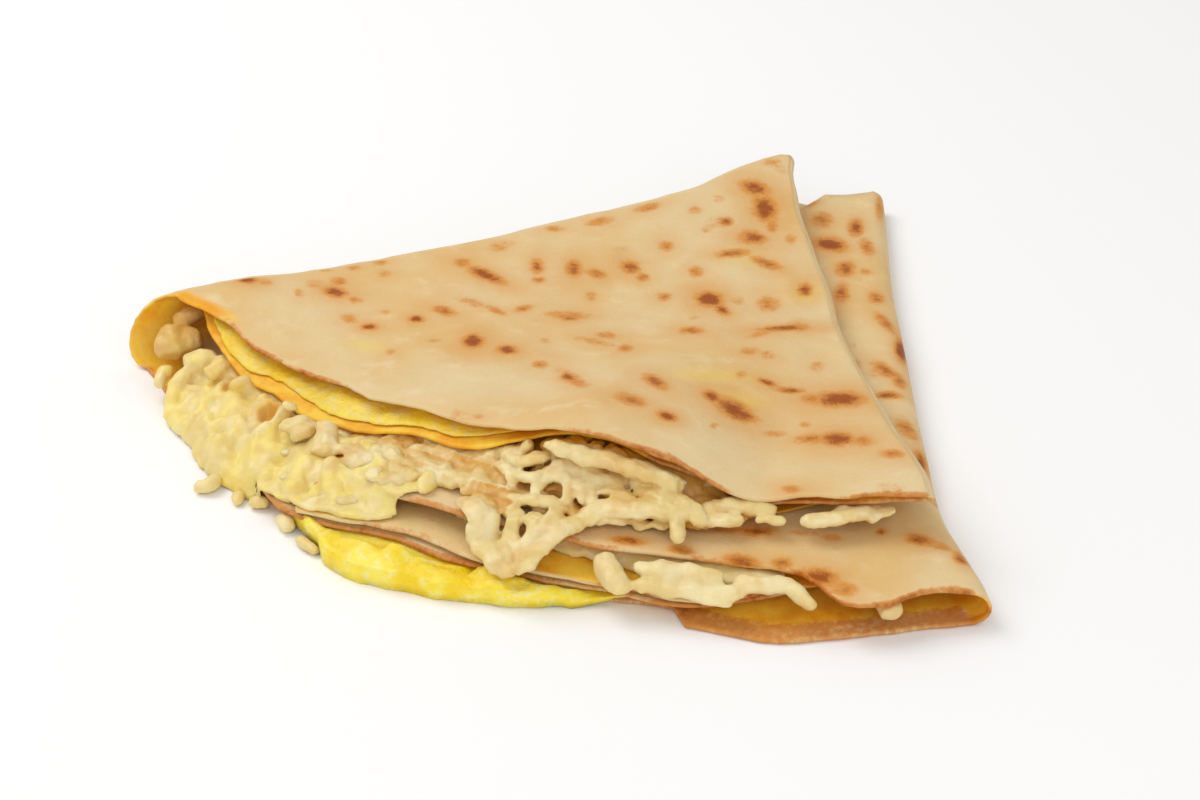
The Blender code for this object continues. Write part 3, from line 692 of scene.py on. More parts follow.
@dataclass
class BandMaker:
    """Runs a face down the top flap, round the left fold, and round the right fold to the middle leaf."""

    fold: Fold
    rows: Grid
    columns: tuple[int, int, int]
    middle_edge_bulge: float = 2.6
    middle_mean: float = 210.0

    def leaf_grid(self, leaf: Leaf, depth: Height, rim: Rim, first: tuple, last: tuple) -> Band:
        """One leaf between two lines, each given as fold knots and an offset."""
        rows = self.rows[:, None]
        begin = self.fold.edge_turn(rows, first[0], rim, first[1])
        end = self.fold.edge_turn(rows, last[0], rim, last[1])
        turn = begin + (end - begin) * spread(self.columns[leaf.value])
        reach = self.fold.column_reach(rows, turn, rim(turn))
        height = self.fold.outside(leaf, turn, reach) + self.fold.way(leaf) * depth(turn, reach)
        flat = (turn, 2 * FLAT_HALF_TURN - turn, 2 * FLAT_HALF_TURN + turn)[leaf.value]
        return Band(turn, reach, height, flat, 0 * turn + leaf.value)

    def bend(
        self, knots: Knots, side: int, bulge: Knots, ends: tuple[Band, Band], faces: tuple, downwards: bool
    ) -> Band:
        """Half round where the band turns over at a fold line.

        Args:
            knots: The fold line, as turn by reach.
            side: 1 on the left fold and -1 on the right one.
            bulge: How far the bend stands out, by reach.
            ends: The leaves before and after the bend.
            faces: Leaf and depth of the upper and of the lower face that it joins.
            downwards: Whether the band goes from the upper face to the lower one.

        Returns:
            The bend's grid.
        """
        fold = self.fold
        steps = spread(fold.bulge_steps + 2)[1:-1] * math.pi
        share = (1 - np.cos(steps)) / 2
        rims = (ends[0].reach[-1, -1], ends[1].reach[-1, 0])
        guess = profile(self.middle_mean, knots)
        rim = rims[0] + (rims[1] - rims[0]) * share + fold.rim_bulge * (side > 0) * np.sin(steps)
        reach = fold.column_reach(self.rows[:, None], guess + 0 * share, rim)
        width = profile(reach, bulge)
        start = profile(reach, knots) - side * np.degrees(width / reach)
        (upper, upper_depth), (lower, lower_depth) = faces
        high = fold.outside(upper, start, reach) + fold.way(upper) * upper_depth(start, reach)
        low = fold.outside(lower, start, reach) + fold.way(lower) * lower_depth(start, reach)
        mean_depth = (upper_depth(start, reach) + lower_depth(start, reach)) / 2
        out = np.maximum(width - mean_depth, 0.5) * np.sin(steps)
        cosine = np.cos(steps) if downwards else -np.cos(steps)
        before = ends[0].flat[:, -1:]
        flat = before + (ends[1].flat[:, :1] - before) * share
        turn = start + side * np.degrees(out / reach)
        leaf = (ends[0].leaf[0, 0] + 0.5 + 0.25 * cosine) + 0 * turn
        return Band(turn, reach, (high + low) / 2 + (high - low) / 2 * cosine, flat, leaf)

    def run(self, depths: Sequence[Height], rims: Sequence[Rim]) -> Band:
        """The whole face.

        Args:
            depths: Distance from the outside on the top, bottom and middle leaf.
            rims: Rim reach on the same three.

        Returns:
            The face from the top flap's free edge to the middle leaf's.
        """
        fold = self.fold
        top_first = (fold.top_edge, lambda reach: SHEET + fold.top_gap_size / 2 + 0 * reach)
        left_line = (fold.left_fold, lambda reach: -profile(reach, fold.left_bulge))
        right_line = (fold.right_fold, lambda reach: profile(reach, fold.right_bulge))
        middle_last = (fold.middle_edge, lambda reach: -self.middle_edge_bulge + 0 * reach)
        flap = self.leaf_grid(Leaf.TOP, depths[0], rims[0], top_first, left_line)
        base = self.leaf_grid(Leaf.BOTTOM, depths[1], rims[1], left_line, right_line)
        inner = self.leaf_grid(Leaf.MIDDLE, depths[2], rims[2], right_line, middle_last)
        top, bottom, middle = zip(Leaf, depths)
        left = self.bend(fold.left_fold, 1, fold.left_bulge, (flap, base), (top, bottom), True)
        right = self.bend(fold.right_fold, -1, fold.right_bulge, (base, inner), (middle, bottom), False)
        return Band.each(lambda *grids: np.concatenate(grids, axis=1), flap, left, base, right, inner)


def grid_faces(rows: int, columns: int, first: int, closed: bool = False) -> list[tuple[int, ...]]:
    """Quads of a grid of vertices, and a last strip back to column 0 when it is closed."""
    faces = []
    last = columns if closed else columns - 1
    for row in range(rows - 1):
        for column in range(last):
            near = first + row * columns + column
            after = first + row * columns + (column + 1) % columns
            faces.append((near, after, after + columns, near + columns))
    return faces


def slab_faces(rows: int, columns: int) -> list[tuple[int, ...]]:
    """Faces of a closed slab between two grids of the same size, the upper one first."""
    half = rows * columns
    faces = grid_faces(rows, columns, 0)
    faces += [face[::-1] for face in grid_faces(rows, columns, half)]
    ring = list(range(columns))
    ring += [row * columns + columns - 1 for row in range(1, rows)]
    ring += [(rows - 1) * columns + column for column in range(columns - 2, -1, -1)]
    ring += [row * columns for row in range(rows - 2, 0, -1)]
    for index, corner in enumerate(ring):
        after = ring[(index + 1) % len(ring)]
        faces.append((corner, half + corner, half + after, after))
    return faces


def slab_mesh(name: str, turn: Grid, reach: Grid, upper: Grid, lower: Grid) -> bpy.types.Mesh:
    """Closed slab between two heights over a grid of polar places.

    Args:
        name: Name of the mesh.
        turn: Turn of the grid's points.
        reach: Reach of the grid's points.
        upper: Heights of the upper face.
        lower: Heights of the lower face.

    Returns:
        The mesh.
    """
    points = np.concatenate([polar(turn, reach, height).reshape(-1, 3) for height in (upper, lower)])
    mesh = bpy.data.meshes.new(name)
    mesh.from_pydata((points * MM).tolist(), [], slab_faces(*turn.shape))
    return mesh


def to_numbers(mesh: bpy.types.Mesh) -> Grid:
    """Vertex places of a mesh in millimetres."""
    places = np.empty(len(mesh.vertices) * 3)
    mesh.vertices.foreach_get("co", places)
    return places.reshape(-1, 3) / MM


def keep_numbers(mesh: bpy.types.Mesh, name: str, values: Grid) -> None:
    """Keeps one number, or one place, for each vertex of a mesh under a name."""
    kind, part = ("FLOAT_VECTOR", "vector") if values.ndim == 2 else ("FLOAT", "value")
    layer = mesh.attributes.new(name, kind, "POINT")
    layer.data.foreach_set(part, values.astype(np.float32).ravel())


def read_numbers(mesh: bpy.types.Mesh, name: str) -> Grid:
    """One number for each vertex of a mesh, kept under a name."""
    values = np.empty(len(mesh.vertices), np.float32)
    mesh.attributes[name].data.foreach_get("value", values)
    return values


def in_scene(name: str, data: Any) -> bpy.types.Object:
    """Object of a mesh, a lamp or a camera, linked to the scene."""
    made = bpy.data.objects.new(name, data)
    bpy.context.scene.collection.objects.link(made)
    return made


def taken_from(holder: bpy.types.Object) -> bpy.types.Mesh:
    """Mesh that an object's modifiers make, after which the object goes."""
    evaluated = holder.evaluated_get(bpy.context.evaluated_depsgraph_get())
    result = bpy.data.meshes.new_from_object(evaluated)
    holder.modifiers.clear()
    bpy.data.objects.remove(holder, do_unlink=True)
    return result


def new_piece(name: str, mesh: bpy.types.Mesh, finish: bpy.types.Material) -> bpy.types.Object:
    """Object of a mesh, smooth and outside out."""
    work = bmesh.new()
    work.from_mesh(mesh)
    bmesh.ops.recalc_face_normals(work, faces=work.faces[:])
    work.to_mesh(mesh)
    work.free()
    mesh.shade_smooth()
    mesh.materials.clear()
    mesh.materials.append(finish)
    return in_scene(name, mesh)


def report(piece: bpy.types.Object, *nodes: str, slot: str) -> None:
    """Attaches a piece to the root body, hides the model's nodes that it stands for, and logs its size."""
    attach(piece, "root")
    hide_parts(*nodes)
    piece.data.calc_loop_triangles()
    log.info("%s: %d triangles", piece.name, len(piece.data.loop_triangles))


@dataclass
class Spot:
    """One browned spot: where it is, its half length and half width, its tilt and its strength."""

    turn: float
    reach: float
    length: float
    width: float
    tilt: float
    heat: float

    def at(self, points: Grid, wider: float = 1.0) -> Grid:
        """Strength of the spot at places on the model."""
        centre = polar(self.turn, self.reach, 0.0)
        away = points[..., :2] - centre[:2]
        turn = math.radians(self.turn)
        angle = math.radians(self.tilt) + math.atan2(math.sin(turn), -math.cos(turn))
        along = (away[..., 0] * math.cos(angle) + away[..., 1] * math.sin(angle)) / (self.length * wider)
        across = (away[..., 1] * math.cos(angle) - away[..., 0] * math.sin(angle)) / (self.width * wider)
        return self.heat * np.exp(-0.75 * (along**2 + across**2) ** 1.25)


TOP_SPOTS = (
    (60.4, 193.2, 2.7, 2, 32, 0.9), (59.4, 189.3, 1.8, 1.6, 40, 0.45), (60.3, 172.6, 2.6, 1.7, 59, 0.4),
    (59.3, 165.3, 1.5, 1.4, 51, 0.5), (59.2, 157.6, 1.8, 1.6, 55, 0.5), (56.9, 159.8, 2, 1.5, -26, 0.4),
    (57.1, 183.8, 2.7, 1.2, -26, 0.4), (56, 175.5, 3.1, 2.5, 13, 0.85), (57.6, 171.9, 2.2, 2, -13, 0.5),
    (58, 178, 2.7, 2.3, -18, 0.35), (53.9, 173.4, 1.8, 1.6, 25, 0.45), (49.2, 179.1, 1.8, 1.6, 9, 0.85),
    (51.5, 180.2, 3.4, 1.8, -11, 0.4), (47.7, 167.9, 1.9, 1.7, -20, 0.85), (50.7, 171, 1.7, 1.5, -18, 0.25),
    (47.3, 160.2, 3.5, 1.9, 9, 0.7), (54.8, 140.1, 2.5, 2, -19, 0.6), (50.9, 139.2, 6.4, 2.1, 3, 0.8),
    (55.8, 127.4, 3, 2.3, -25, 0.4), (48.7, 126.5, 4, 1.5, -40, 0.7), (46.1, 131.3, 1.7, 1.5, -38, 0.6),
    (55.8, 110.3, 2.4, 1.6, 58, 0.5), (47, 152.1, 4.2, 1.9, 7, 0.45), (44, 150.9, 3.5, 1.3, -7, 0.5),
    (42.3, 145.5, 2.5, 1.6, 83, 0.6), (39.5, 143.2, 2.2, 1.9, 54, 0.4), (40.7, 168.2, 3.9, 2.4, -43, 0.95),
    (37.1, 167.9, 2.9, 2.1, -18, 0.85), (43.4, 173.5, 2, 1.6, 19, 0.35), (33.3, 169.8, 2.1, 1.8, 86, 0.5),
    (35.9, 157.1, 1.9, 1.4, -61, 0.35), (44.5, 184.5, 1.9, 1.2, -33, 0.35),
    (32.1, 200.2, 1.5, 1.1, -47, 0.3), (45.5, 120.2, 4.3, 1.8, -45, 0.7), (42.8, 117.6, 2.7, 1.8, -7, 0.65),
    (45.1, 104.1, 2.1, 1.5, 61, 0.3), (41.3, 93.6, 2.7, 1.8, -52, 0.6), (40.8, 108.7, 3.4, 2.4, -32, 0.75),
    (37.9, 110.7, 2.3, 1.5, -54, 0.7), (33, 100, 2.8, 1.8, -58, 0.5), (39.5, 127.8, 3, 1.5, -52, 0.4),
    (32.6, 116.5, 2.3, 2, -74, 0.55), (27.4, 112.1, 4.1, 2.9, -53, 1), (24.7, 116.2, 2.8, 1.6, -44, 0.8),
    (23.9, 109.3, 2.2, 1.5, -79, 0.4), (20.1, 107.5, 4, 2.8, -73, 0.5), (16.2, 96.9, 3.3, 1.8, -81, 0.8),
    (31, 86.4, 4.2, 2.3, 44, 0.65), (24.3, 87.1, 4.8, 2.1, -19, 0.7), (38.2, 140.9, 6.2, 2.6, 35, 0.45),
    (37.5, 142, 2, 1.9, 77, 0.7), (32.3, 144.5, 2.5, 1.9, 51, 0.6), (32.5, 150.1, 5.4, 1.7, 10, 0.4),
    (29.1, 149.7, 3, 1.7, -60, 0.5), (25.3, 131.8, 2.9, 2.3, 15, 0.7), (26.5, 124.3, 2, 1.9, 52, 0.3),
    (16.5, 119.7, 5.9, 1.7, 28, 0.8), (18.6, 124.9, 4.3, 1.4, 57, 0.45), (18.5, 135.8, 2.5, 1.8, 81, 0.45),
    (16.6, 135.5, 2.5, 1.9, -70, 0.35), (17.7, 150, 2.3, 1.3, 87, 0.4), (11.4, 136.1, 2.6, 1.7, -88, 0.4),
    (29.2, 174.4, 8.1, 1.8, -39, 0.55), (30.1, 172.6, 3.2, 1.3, -40, 0.8), (23.1, 169.5, 4.1, 2.3, -40, 0.7),
    (15.3, 149.5, 2, 1.5, 0, 0.8), (13.2, 150.2, 3.6, 1.4, 21, 0.65), (23.2, 183, 3.6, 3, -24, 0.6),
    (20.2, 184.6, 2, 1.9, 54, 0.85), (18.6, 166.6, 2.8, 1.9, -67, 0.8), (16.6, 168, 4.6, 3.8, -30, 0.85),
    (15.8, 168.8, 3.6, 2.6, 26, 0.8), (8.6, 152.5, 5.6, 3.7, 7, 0.9), (10.9, 152.9, 2.8, 2.6, 7, 0.55),
    (8.3, 173, 3.6, 3.2, -2, 0.9), (10.4, 173.1, 3.7, 2.4, -4, 0.6), (6.6, 173.6, 3.2, 2.7, 5, 0.5),
    (13.1, 171.7, 2.9, 1.3, 33, 0.45), (11, 166.1, 1.6, 1.5, -18, 0.35), (4.3, 179.4, 2.7, 1.9, -7, 0.5),
    (17.2, 179.4, 1.7, 0.9, 75, 0.35), (10.8, 195.8, 2, 1.7, -19, 0.6), (44.8, 52.5, 4.5, 3.3, -16, 0.8),
    (35.5, 60.2, 5.9, 3, -53, 0.9), (29.9, 67.5, 3.4, 1.6, -65, 0.5), (30.8, 75.9, 3.5, 3.3, -21, 0.8),
    (46.7, 73.7, 2.8, 1.6, -47, 0.35), (38.7, 72.7, 2.2, 1.6, -60, 0.5), (39.7, 79.8, 2.2, 1.6, -58, 0.3),
    (23.8, 71.7, 2.8, 1.6, -72, 0.35), (54.2, 38.9, 2.5, 2.3, 78, 0.4), (47, 64.3, 2.8, 1.6, -47, 0.3),
    (53.3, 82.7, 3.8, 1.9, -87, 0.5), (53.9, 97.7, 4.1, 1.9, 86, 0.4), (55.9, 124.3, 2.1, 1.8, 43, 0.3),
)
MIDDLE_SPOTS = (
    (39.1, 33.7, 3.9, 2.2, -57, 0.7), (25.7, 42.6, 4.6, 2.7, -72, 0.65), (17.9, 57.1, 4.1, 3.5, -42, 1),
    (12.6, 44.4, 5.3, 1.9, -83, 0.7), (8.1, 55.6, 4.8, 1.9, -77, 0.6), (3.6, 28.6, 7.6, 1.1, 88, 0.5),
    (11.9, 70.3, 4, 2.4, -85, 0.7), (7.7, 71.1, 2, 1.6, 85, 0.4), (11.4, 84.1, 5.4, 1.8, -84, 0.65),
    (5.4, 85.6, 3.3, 2, -87, 0.6), (4, 99, 5, 1.7, -66, 0.6), (2, 110.2, 5.6, 1.5, 86, 0.95),
    (4.2, 123, 4.5, 2, -49, 0.65), (2.7, 127.7, 3.1, 1.6, -89, 0.7), (8.2, 111.8, 1.5, 1.2, 85, 0.25),
    (2.5, 150.4, 5.3, 2.3, -77, 0.5), (1.7, 164.9, 4.9, 1.8, 85, 0.8), (7.6, 121.7, 3.5, 1.5, -88, 0.3),
    (53.5, 23.6, 5.1, 2.5, -42, 0.4), (4.1, 135.1, 2.9, 1.4, 6, 0.8), (12.6, 202.5, 3.7, 1.8, 12, 0.7),
    (14.4, 203.6, 3.7, 1.2, 13, 0.4), (9.8, 200.9, 3.7, 1.2, 10, 0.35), (8, 201.1, 2.2, 1.4, 18, 0.45),
    (6.2, 190.9, 2.1, 1.6, 23, 0.6), (4.9, 196.7, 1.4, 1.2, 33, 0.8), (2.5, 199.4, 3.1, 2, -19, 0.7),
    (1.2, 201.4, 2.7, 1.5, -31, 0.45), (0.1, 205.6, 2.8, 1.5, -87, 0.7), (19.8, 215.7, 3.7, 1.6, 12, 0.75),
    (16.6, 214.8, 2.6, 1.5, 3, 0.6), (13, 214.9, 3.5, 2.3, -1, 0.8), (10.7, 213.4, 2.2, 1.9, 34, 0.65),
    (8.5, 216.6, 3.6, 3, 8, 0.85), (7, 220.4, 2.6, 2.3, 7, 0.5),
)
STAINS = (
    (46.5, 186, 5, 3, 20, 0.7), (20, 156, 9, 3, 40, 0.8), (16.4, 161, 5, 3, 20, 0.7),
    (4.6, 152, 2.6, 2.2, 0, 0.9), (15.6, 99, 5, 4, 80, 0.5), (29, 87, 6, 4, 0, 0.4),
)


@dataclass
class Places:
    """Numbers of the sheet's vertices.

    The layer is 1 on the inside layer, and the skin is 1 on the face that the egg lies on. Away is
    the distance from the rim.
    """

    turn: Grid
    reach: Grid
    leaf: Grid
    layer: Grid
    skin: Grid
    away: Grid

    def yellow_band(self) -> Grid:
        """Which points are on the egg-yellow band under the top flap's rim."""
        return (self.leaf < 0.3) & (self.layer > 0.5) & (self.turn > 20)

    def lower_lip(self) -> Grid:
        """Which points are on the lowest lip at the right."""
        return (self.leaf > 0.9) & (self.leaf < 1.1) & (self.layer < 0.5) & (self.turn < 20)


@dataclass
class CrepeSheet:
    """The folded sheet: two layers with the egg between them, closed at its rim and back."""

    fold: Fold
    finish: BatterFinish = field(default_factory=BatterFinish)
    back_rows: int = 50
    rim_rows: int = 38
    rim_start: float = 0.865
    columns: tuple[int, int, int] = (104, 60, 46)
    spot_cuts: int = 2
    refined: float = 1.35
    cut_above: float = 1.3
    rim_browning: tuple[Knots, ...] = (
        ((2, 0.6), (9, 0.9), (13, 0.75), (20, 0.8), (25, 0.3), (28, 0.05), (42, 0.1), (44, 0.6), (50, 0.9),
         (54, 0.6),
         (57, 0.15), (60, 0)),
        ((-2, 0.7), (4, 0.75), (15, 0.85), (30, 0.95), (45, 0.8), (55, 0.95), (62, 0.8)),
        ((-2, 0.8), (6, 0.75), (10, 0.95), (18, 0.85), (24, 0.6), (32, 0.5), (40, 0.3)),
    )

    def rows(self) -> Grid:
        """Row shares, close together near the rim."""
        back = np.linspace(0.0, self.rim_start, self.back_rows)
        return np.concatenate([back, np.linspace(self.rim_start, 1.0, self.rim_rows)[1:]])

    def thin(self, reach: Grid, rim: Grid) -> Grid:
        """How much the sheet gets thinner towards its rim, in millimetres."""
        return 0.42 * ramp(reach, rim - 7, rim - 0.8) + 0.3 * ramp(reach, rim - 0.7, rim)

    def free_edge(self, first: Band, second: Band, bulge: Grid, way: int) -> Band:
        """Half round that joins the ends of two faces along a free edge."""
        steps = spread(self.fold.edge_steps + 2)[1:-1] * math.pi
        share = (1 - np.cos(steps)) / 2
        mixed = Band.each(lambda start, end: start + (end - start) * share, first, second)
        mixed.turn = mixed.turn + way * bulge * np.sin(steps) * np.degrees(1 / mixed.reach)
        return mixed

    def loop(self, maker: BandMaker, outer: bool) -> tuple[Grid, dict[str, Grid]]:
        """One face of the whole folded sheet as rows of closed loops.

        Args:
            maker: What runs a face along the band.
            outer: Whether it is the outside face or the one that the egg lies on.

        Returns:
            The points, and numbers kept for each of them.
        """
        fold = self.fold
        rims_a, rims_b = fold.rims(False), fold.rims(True)

        def depth_a(leaf: Leaf) -> Height:
            """Depth of this face on the outside layer."""
            rim = rims_a[leaf.value]
            if outer:
                return lambda turn, reach: 0.5 * self.thin(reach, rim(turn))
            return lambda turn, reach: SHEET - 0.5 * self.thin(reach, rim(turn))

        def depth_b(leaf: Leaf) -> Height:
            """Depth of this face on the inside layer."""
            rim = rims_b[leaf.value]
            sheets, way = (2 * SHEET, -1) if outer else (SHEET, 1)
            return lambda turn, reach: (
                sheets + fold.gap(leaf, turn, reach) + way * 0.5 * self.thin(reach, rim(turn))
            )

        face_a = maker.run([depth_a(leaf) for leaf in Leaf], rims_a)
        face_b = maker.run([depth_b(leaf) for leaf in Leaf], rims_b)

        def ends(band: Band, column: slice) -> Band:
            """First or last column of a face."""
            return Band.each(lambda grid: grid[:, column], band)

        last_a, last_b = ends(face_a, slice(-1, None)), ends(face_b, slice(-1, None))
        first_a, first_b = ends(face_a, slice(0, 1)), ends(face_b, slice(0, 1))
        face_b_back = ends(face_b, slice(None, None, -1))
        wall = SHEET if outer else 0.0
        across = self.free_edge(last_a, last_b, (last_a.height - last_b.height) / 2, 1)
        back = self.free_edge(first_b, first_a, wall + fold.top_gap_size / 2, -1)
        parts = [face_a, across, face_b_back, back]
        points = np.concatenate([part.points() for part in parts], axis=1)
        whole = Band.each(lambda *grids: np.concatenate(grids, axis=1), *parts)
        layers = [np.full(part.turn.shape, value) for part, value in zip(parts, (0.0, 0.5, 1.0, 0.5))]
        numbers = {"turn": whole.turn, "reach": whole.reach, "leaf": whole.leaf}
        numbers["layer"] = np.concatenate(layers, axis=1)
        numbers["skin"] = np.full(whole.turn.shape, 0.0 if outer else 1.0)
        sides = (1.0, 1.0, -1.0, -1.0)
        flat = np.concatenate([part.flat_places(side) for part, side in zip(parts, sides)], axis=1)
        for index, name in enumerate(("flat_x", "flat_y", "flat_z")):
            numbers[name] = flat[..., index]
        return points, numbers

    def cap(self, columns: int, chain: int, first: int) -> list[tuple[int, ...]]:
        """Faces that close a loop at the back of the wedge by pairing the two layers."""
        edge = self.fold.edge_steps
        order = list(range(columns))
        top = order[-edge:][::-1]
        layer_a = top[: edge // 2 + 1][::-1] + order[: chain + edge // 2 + 1]
        layer_b = top[edge // 2:] + order[chain + edge // 2: 2 * chain + edge][::-1]
        pairs = zip(layer_a, layer_a[1:], layer_b[1:], layer_b)
        return [tuple(first + corner for corner in pair) for pair in pairs]

    def browned(self, points: Grid, spots: Sequence[tuple], wider: float = 1.0) -> Grid:
        """Strength of the strongest of many spots at places on the model."""
        heat = np.zeros(len(points))
        for numbers in spots:
            heat = np.maximum(heat, Spot(*numbers).at(points, wider))
        return heat

    def zones(self, mesh: bpy.types.Mesh) -> tuple[Grid, Grid]:
        """Which vertices lie on the outside of the top flap, and on that of the middle leaf."""
        leaf = read_numbers(mesh, "leaf")
        outside = (read_numbers(mesh, "layer") < 0.3) & (read_numbers(mesh, "skin") < 0.5)
        return outside & (leaf < 0.3), outside & (leaf > 1.45)

    def refine_spots(self, mesh: bpy.types.Mesh) -> None:
        """Cuts the faces under the browned spots smaller, so that a spot keeps its outline."""
        points = to_numbers(mesh)
        top, middle = self.zones(mesh)
        marked = np.zeros(len(points), bool)
        for zone, spots in ((top, TOP_SPOTS), (middle, MIDDLE_SPOTS)):
            marked |= zone & (self.browned(points, spots, self.refined) > 0.1)
        work = bmesh.new()
        work.from_mesh(mesh)
        faces = [face for face in work.faces if sum(marked[vert.index] for vert in face.verts) >= 2]
        long = {edge for face in faces for edge in face.edges
                if (edge.verts[0].co - edge.verts[1].co).length > self.cut_above * MM}
        bmesh.ops.subdivide_edges(work, edges=list(long), cuts=self.spot_cuts, use_grid_fill=True)
        work.to_mesh(mesh)
        work.free()

    def rim_browned(self, at: Places) -> Grid:
        """Strength of the browning of each point, from the rim of the sheet inwards."""
        amount = by_leaf(at.leaf, [profile(at.turn, knots) for knots in self.rim_browning])
        uneven = lumps(rim_place(at.turn, at.leaf * 50, at.layer * 50), 7.0, 5.0, 2)
        width = np.where((at.leaf > 0.6) & (at.leaf < 1.4), 2.0, 1.3) + 1.2 * uneven
        uneven = lumps(rim_place(at.turn, at.leaf * 70 + 9, at.layer * 70), 11.0, 6.0, 2)
        patchy = np.clip(0.8 + 1.0 * uneven, 0.15, 1.0)
        browned = amount * patchy * (1 - ramp(at.away, 0.2, np.maximum(width, 0.5) + 0.6))
        browned = np.where(at.yellow_band(), 0.25 * browned, browned)
        lip = (0.46 + 0.14 * patchy) * (1 - ramp(at.away, 4.5, 8.0))
        return np.where(at.lower_lip(), lip, browned)

    def egg_gold_and_fold_shading(self, at: Places) -> Grid:
        """Share of the golden colour at each point: where the sheet is soaked with egg, as painted warm
        shade inside the left fold's mouth, and as painted light in the right bend's shaded hollow.
        """
        band = np.where(at.yellow_band(), 1 - ramp(at.away, 1.2, 4.0), 0.0)
        golden = np.maximum(at.skin * ramp(at.away, -0.1, 0.9), band)
        plain = 0.8 * ramp(at.turn, 25, 28) * (1 - ramp(at.turn, 36, 38))
        golden = golden * np.where(at.leaf > 1.6, 1 - plain, 1.0)
        golden = np.where(at.lower_lip(), at.skin * ramp(at.away, 3.0, 7.0), golden)
        # Painted warm shade: gold over the inside of the left fold's mouth, towards the front.
        mouth = (at.leaf > 0.02) & (at.leaf < 0.98) & ((at.layer > 0.5) | (at.skin > 0.5))
        golden = np.maximum(golden, 0.9 * mouth * ramp(at.reach, 150, 190))
        # Gold over the whole inside of the right bend: egg-soaked skin, made full there as painted light in
        # its shaded hollow.
        golden = np.maximum(golden, (at.leaf > 1.02) * (at.leaf < 1.98) * at.skin)
        curl = (at.leaf < 0.3) * ramp(at.turn, 54.5, 57.5) * (1 - ramp(at.away, 2.0, 5.0))
        return np.maximum(golden, curl)

    def finish_numbers(self, mesh: bpy.types.Mesh) -> None:
        """Keeps what the finish reads: toast, speckle, rim, egg (with painted shade and light inside the
        folds), halo, stain and the flat place.
        """
        points = to_numbers(mesh)
        given = ("turn", "reach", "leaf", "layer", "skin")
        turn, reach, leaf, layer, skin = [read_numbers(mesh, name) for name in given]
        top, middle = self.zones(mesh)
        toast = np.where(top, self.browned(points, TOP_SPOTS), 0.0)
        toast = np.where(middle, self.browned(points, MIDDLE_SPOTS), toast)
        halo = np.where(top, self.browned(points, TOP_SPOTS, 2.8), 0.0)
        halo = halo + np.where(middle, self.browned(points, MIDDLE_SPOTS, 2.0), 0.0)
        inside = layer > 0.5
        pairs = zip(self.fold.rims(True), self.fold.rims(False))
        rim = by_leaf(leaf, [np.where(inside, inner(turn), outer(turn)) for inner, outer in pairs])
        places = Places(turn, reach, leaf, layer, skin, np.maximum(rim - reach, 0.0))
        keep_numbers(mesh, "toast", toast)
        keep_numbers(mesh, "speckle", np.where(top, 0.25, np.where(middle, 0.35, 0.8)) * (1 - skin))
        keep_numbers(mesh, "rim", self.rim_browned(places) * np.where(inside, 0.8, 1.0))
        # Egg gold, with painted shade in the left fold's mouth and painted light in the right bend.
        keep_numbers(mesh, "egg", self.egg_gold_and_fold_shading(places))
        keep_numbers(mesh, "halo", halo)
        keep_numbers(mesh, "stain", np.where(top, self.browned(points, STAINS), 0.0))
        flat = ("flat_x", "flat_y", "flat_z")
        keep_numbers(mesh, "flat", np.stack([read_numbers(mesh, name) for name in flat], axis=-1))
        for name in (*flat, *given):
            mesh.attributes.remove(mesh.attributes[name])

    def build(self) -> bpy.types.Object:
        """The finished piece."""
        rows = self.rows()
        maker = BandMaker(self.fold, rows, self.columns)
        outer, outer_numbers = self.loop(maker, True)
        inner, inner_numbers = self.loop(maker, False)
        count, columns = outer.shape[:2]
        half = count * columns
        chain = sum(self.columns) + 2 * self.fold.bulge_steps
        faces = grid_faces(count, columns, 0, closed=True)
        faces += [face[::-1] for face in grid_faces(count, columns, half, closed=True)]
        rim = (count - 1) * columns
        for column in range(columns):
            after = (column + 1) % columns
            faces.append((rim + column, rim + after, half + rim + after, half + rim + column))
        faces += self.cap(columns, chain, 0)
        faces += [face[::-1] for face in self.cap(columns, chain, half)]
        mesh = bpy.data.meshes.new("crepe")
        points = np.concatenate([outer.reshape(-1, 3), inner.reshape(-1, 3)]) * MM
        faces = [tuple(dict.fromkeys(face)) for face in faces]
        mesh.from_pydata(points.tolist(), [], [face for face in faces if len(face) > 2])
        for name in outer_numbers:
            keep_numbers(
                mesh, name, np.concatenate([outer_numbers[name].ravel(), inner_numbers[name].ravel()])
            )
        self.refine_spots(mesh)
        self.finish_numbers(mesh)
        piece = new_piece("crepe_sheet", mesh, self.finish.make())
        report(piece, "crepe", slot="crepe")
        return piece


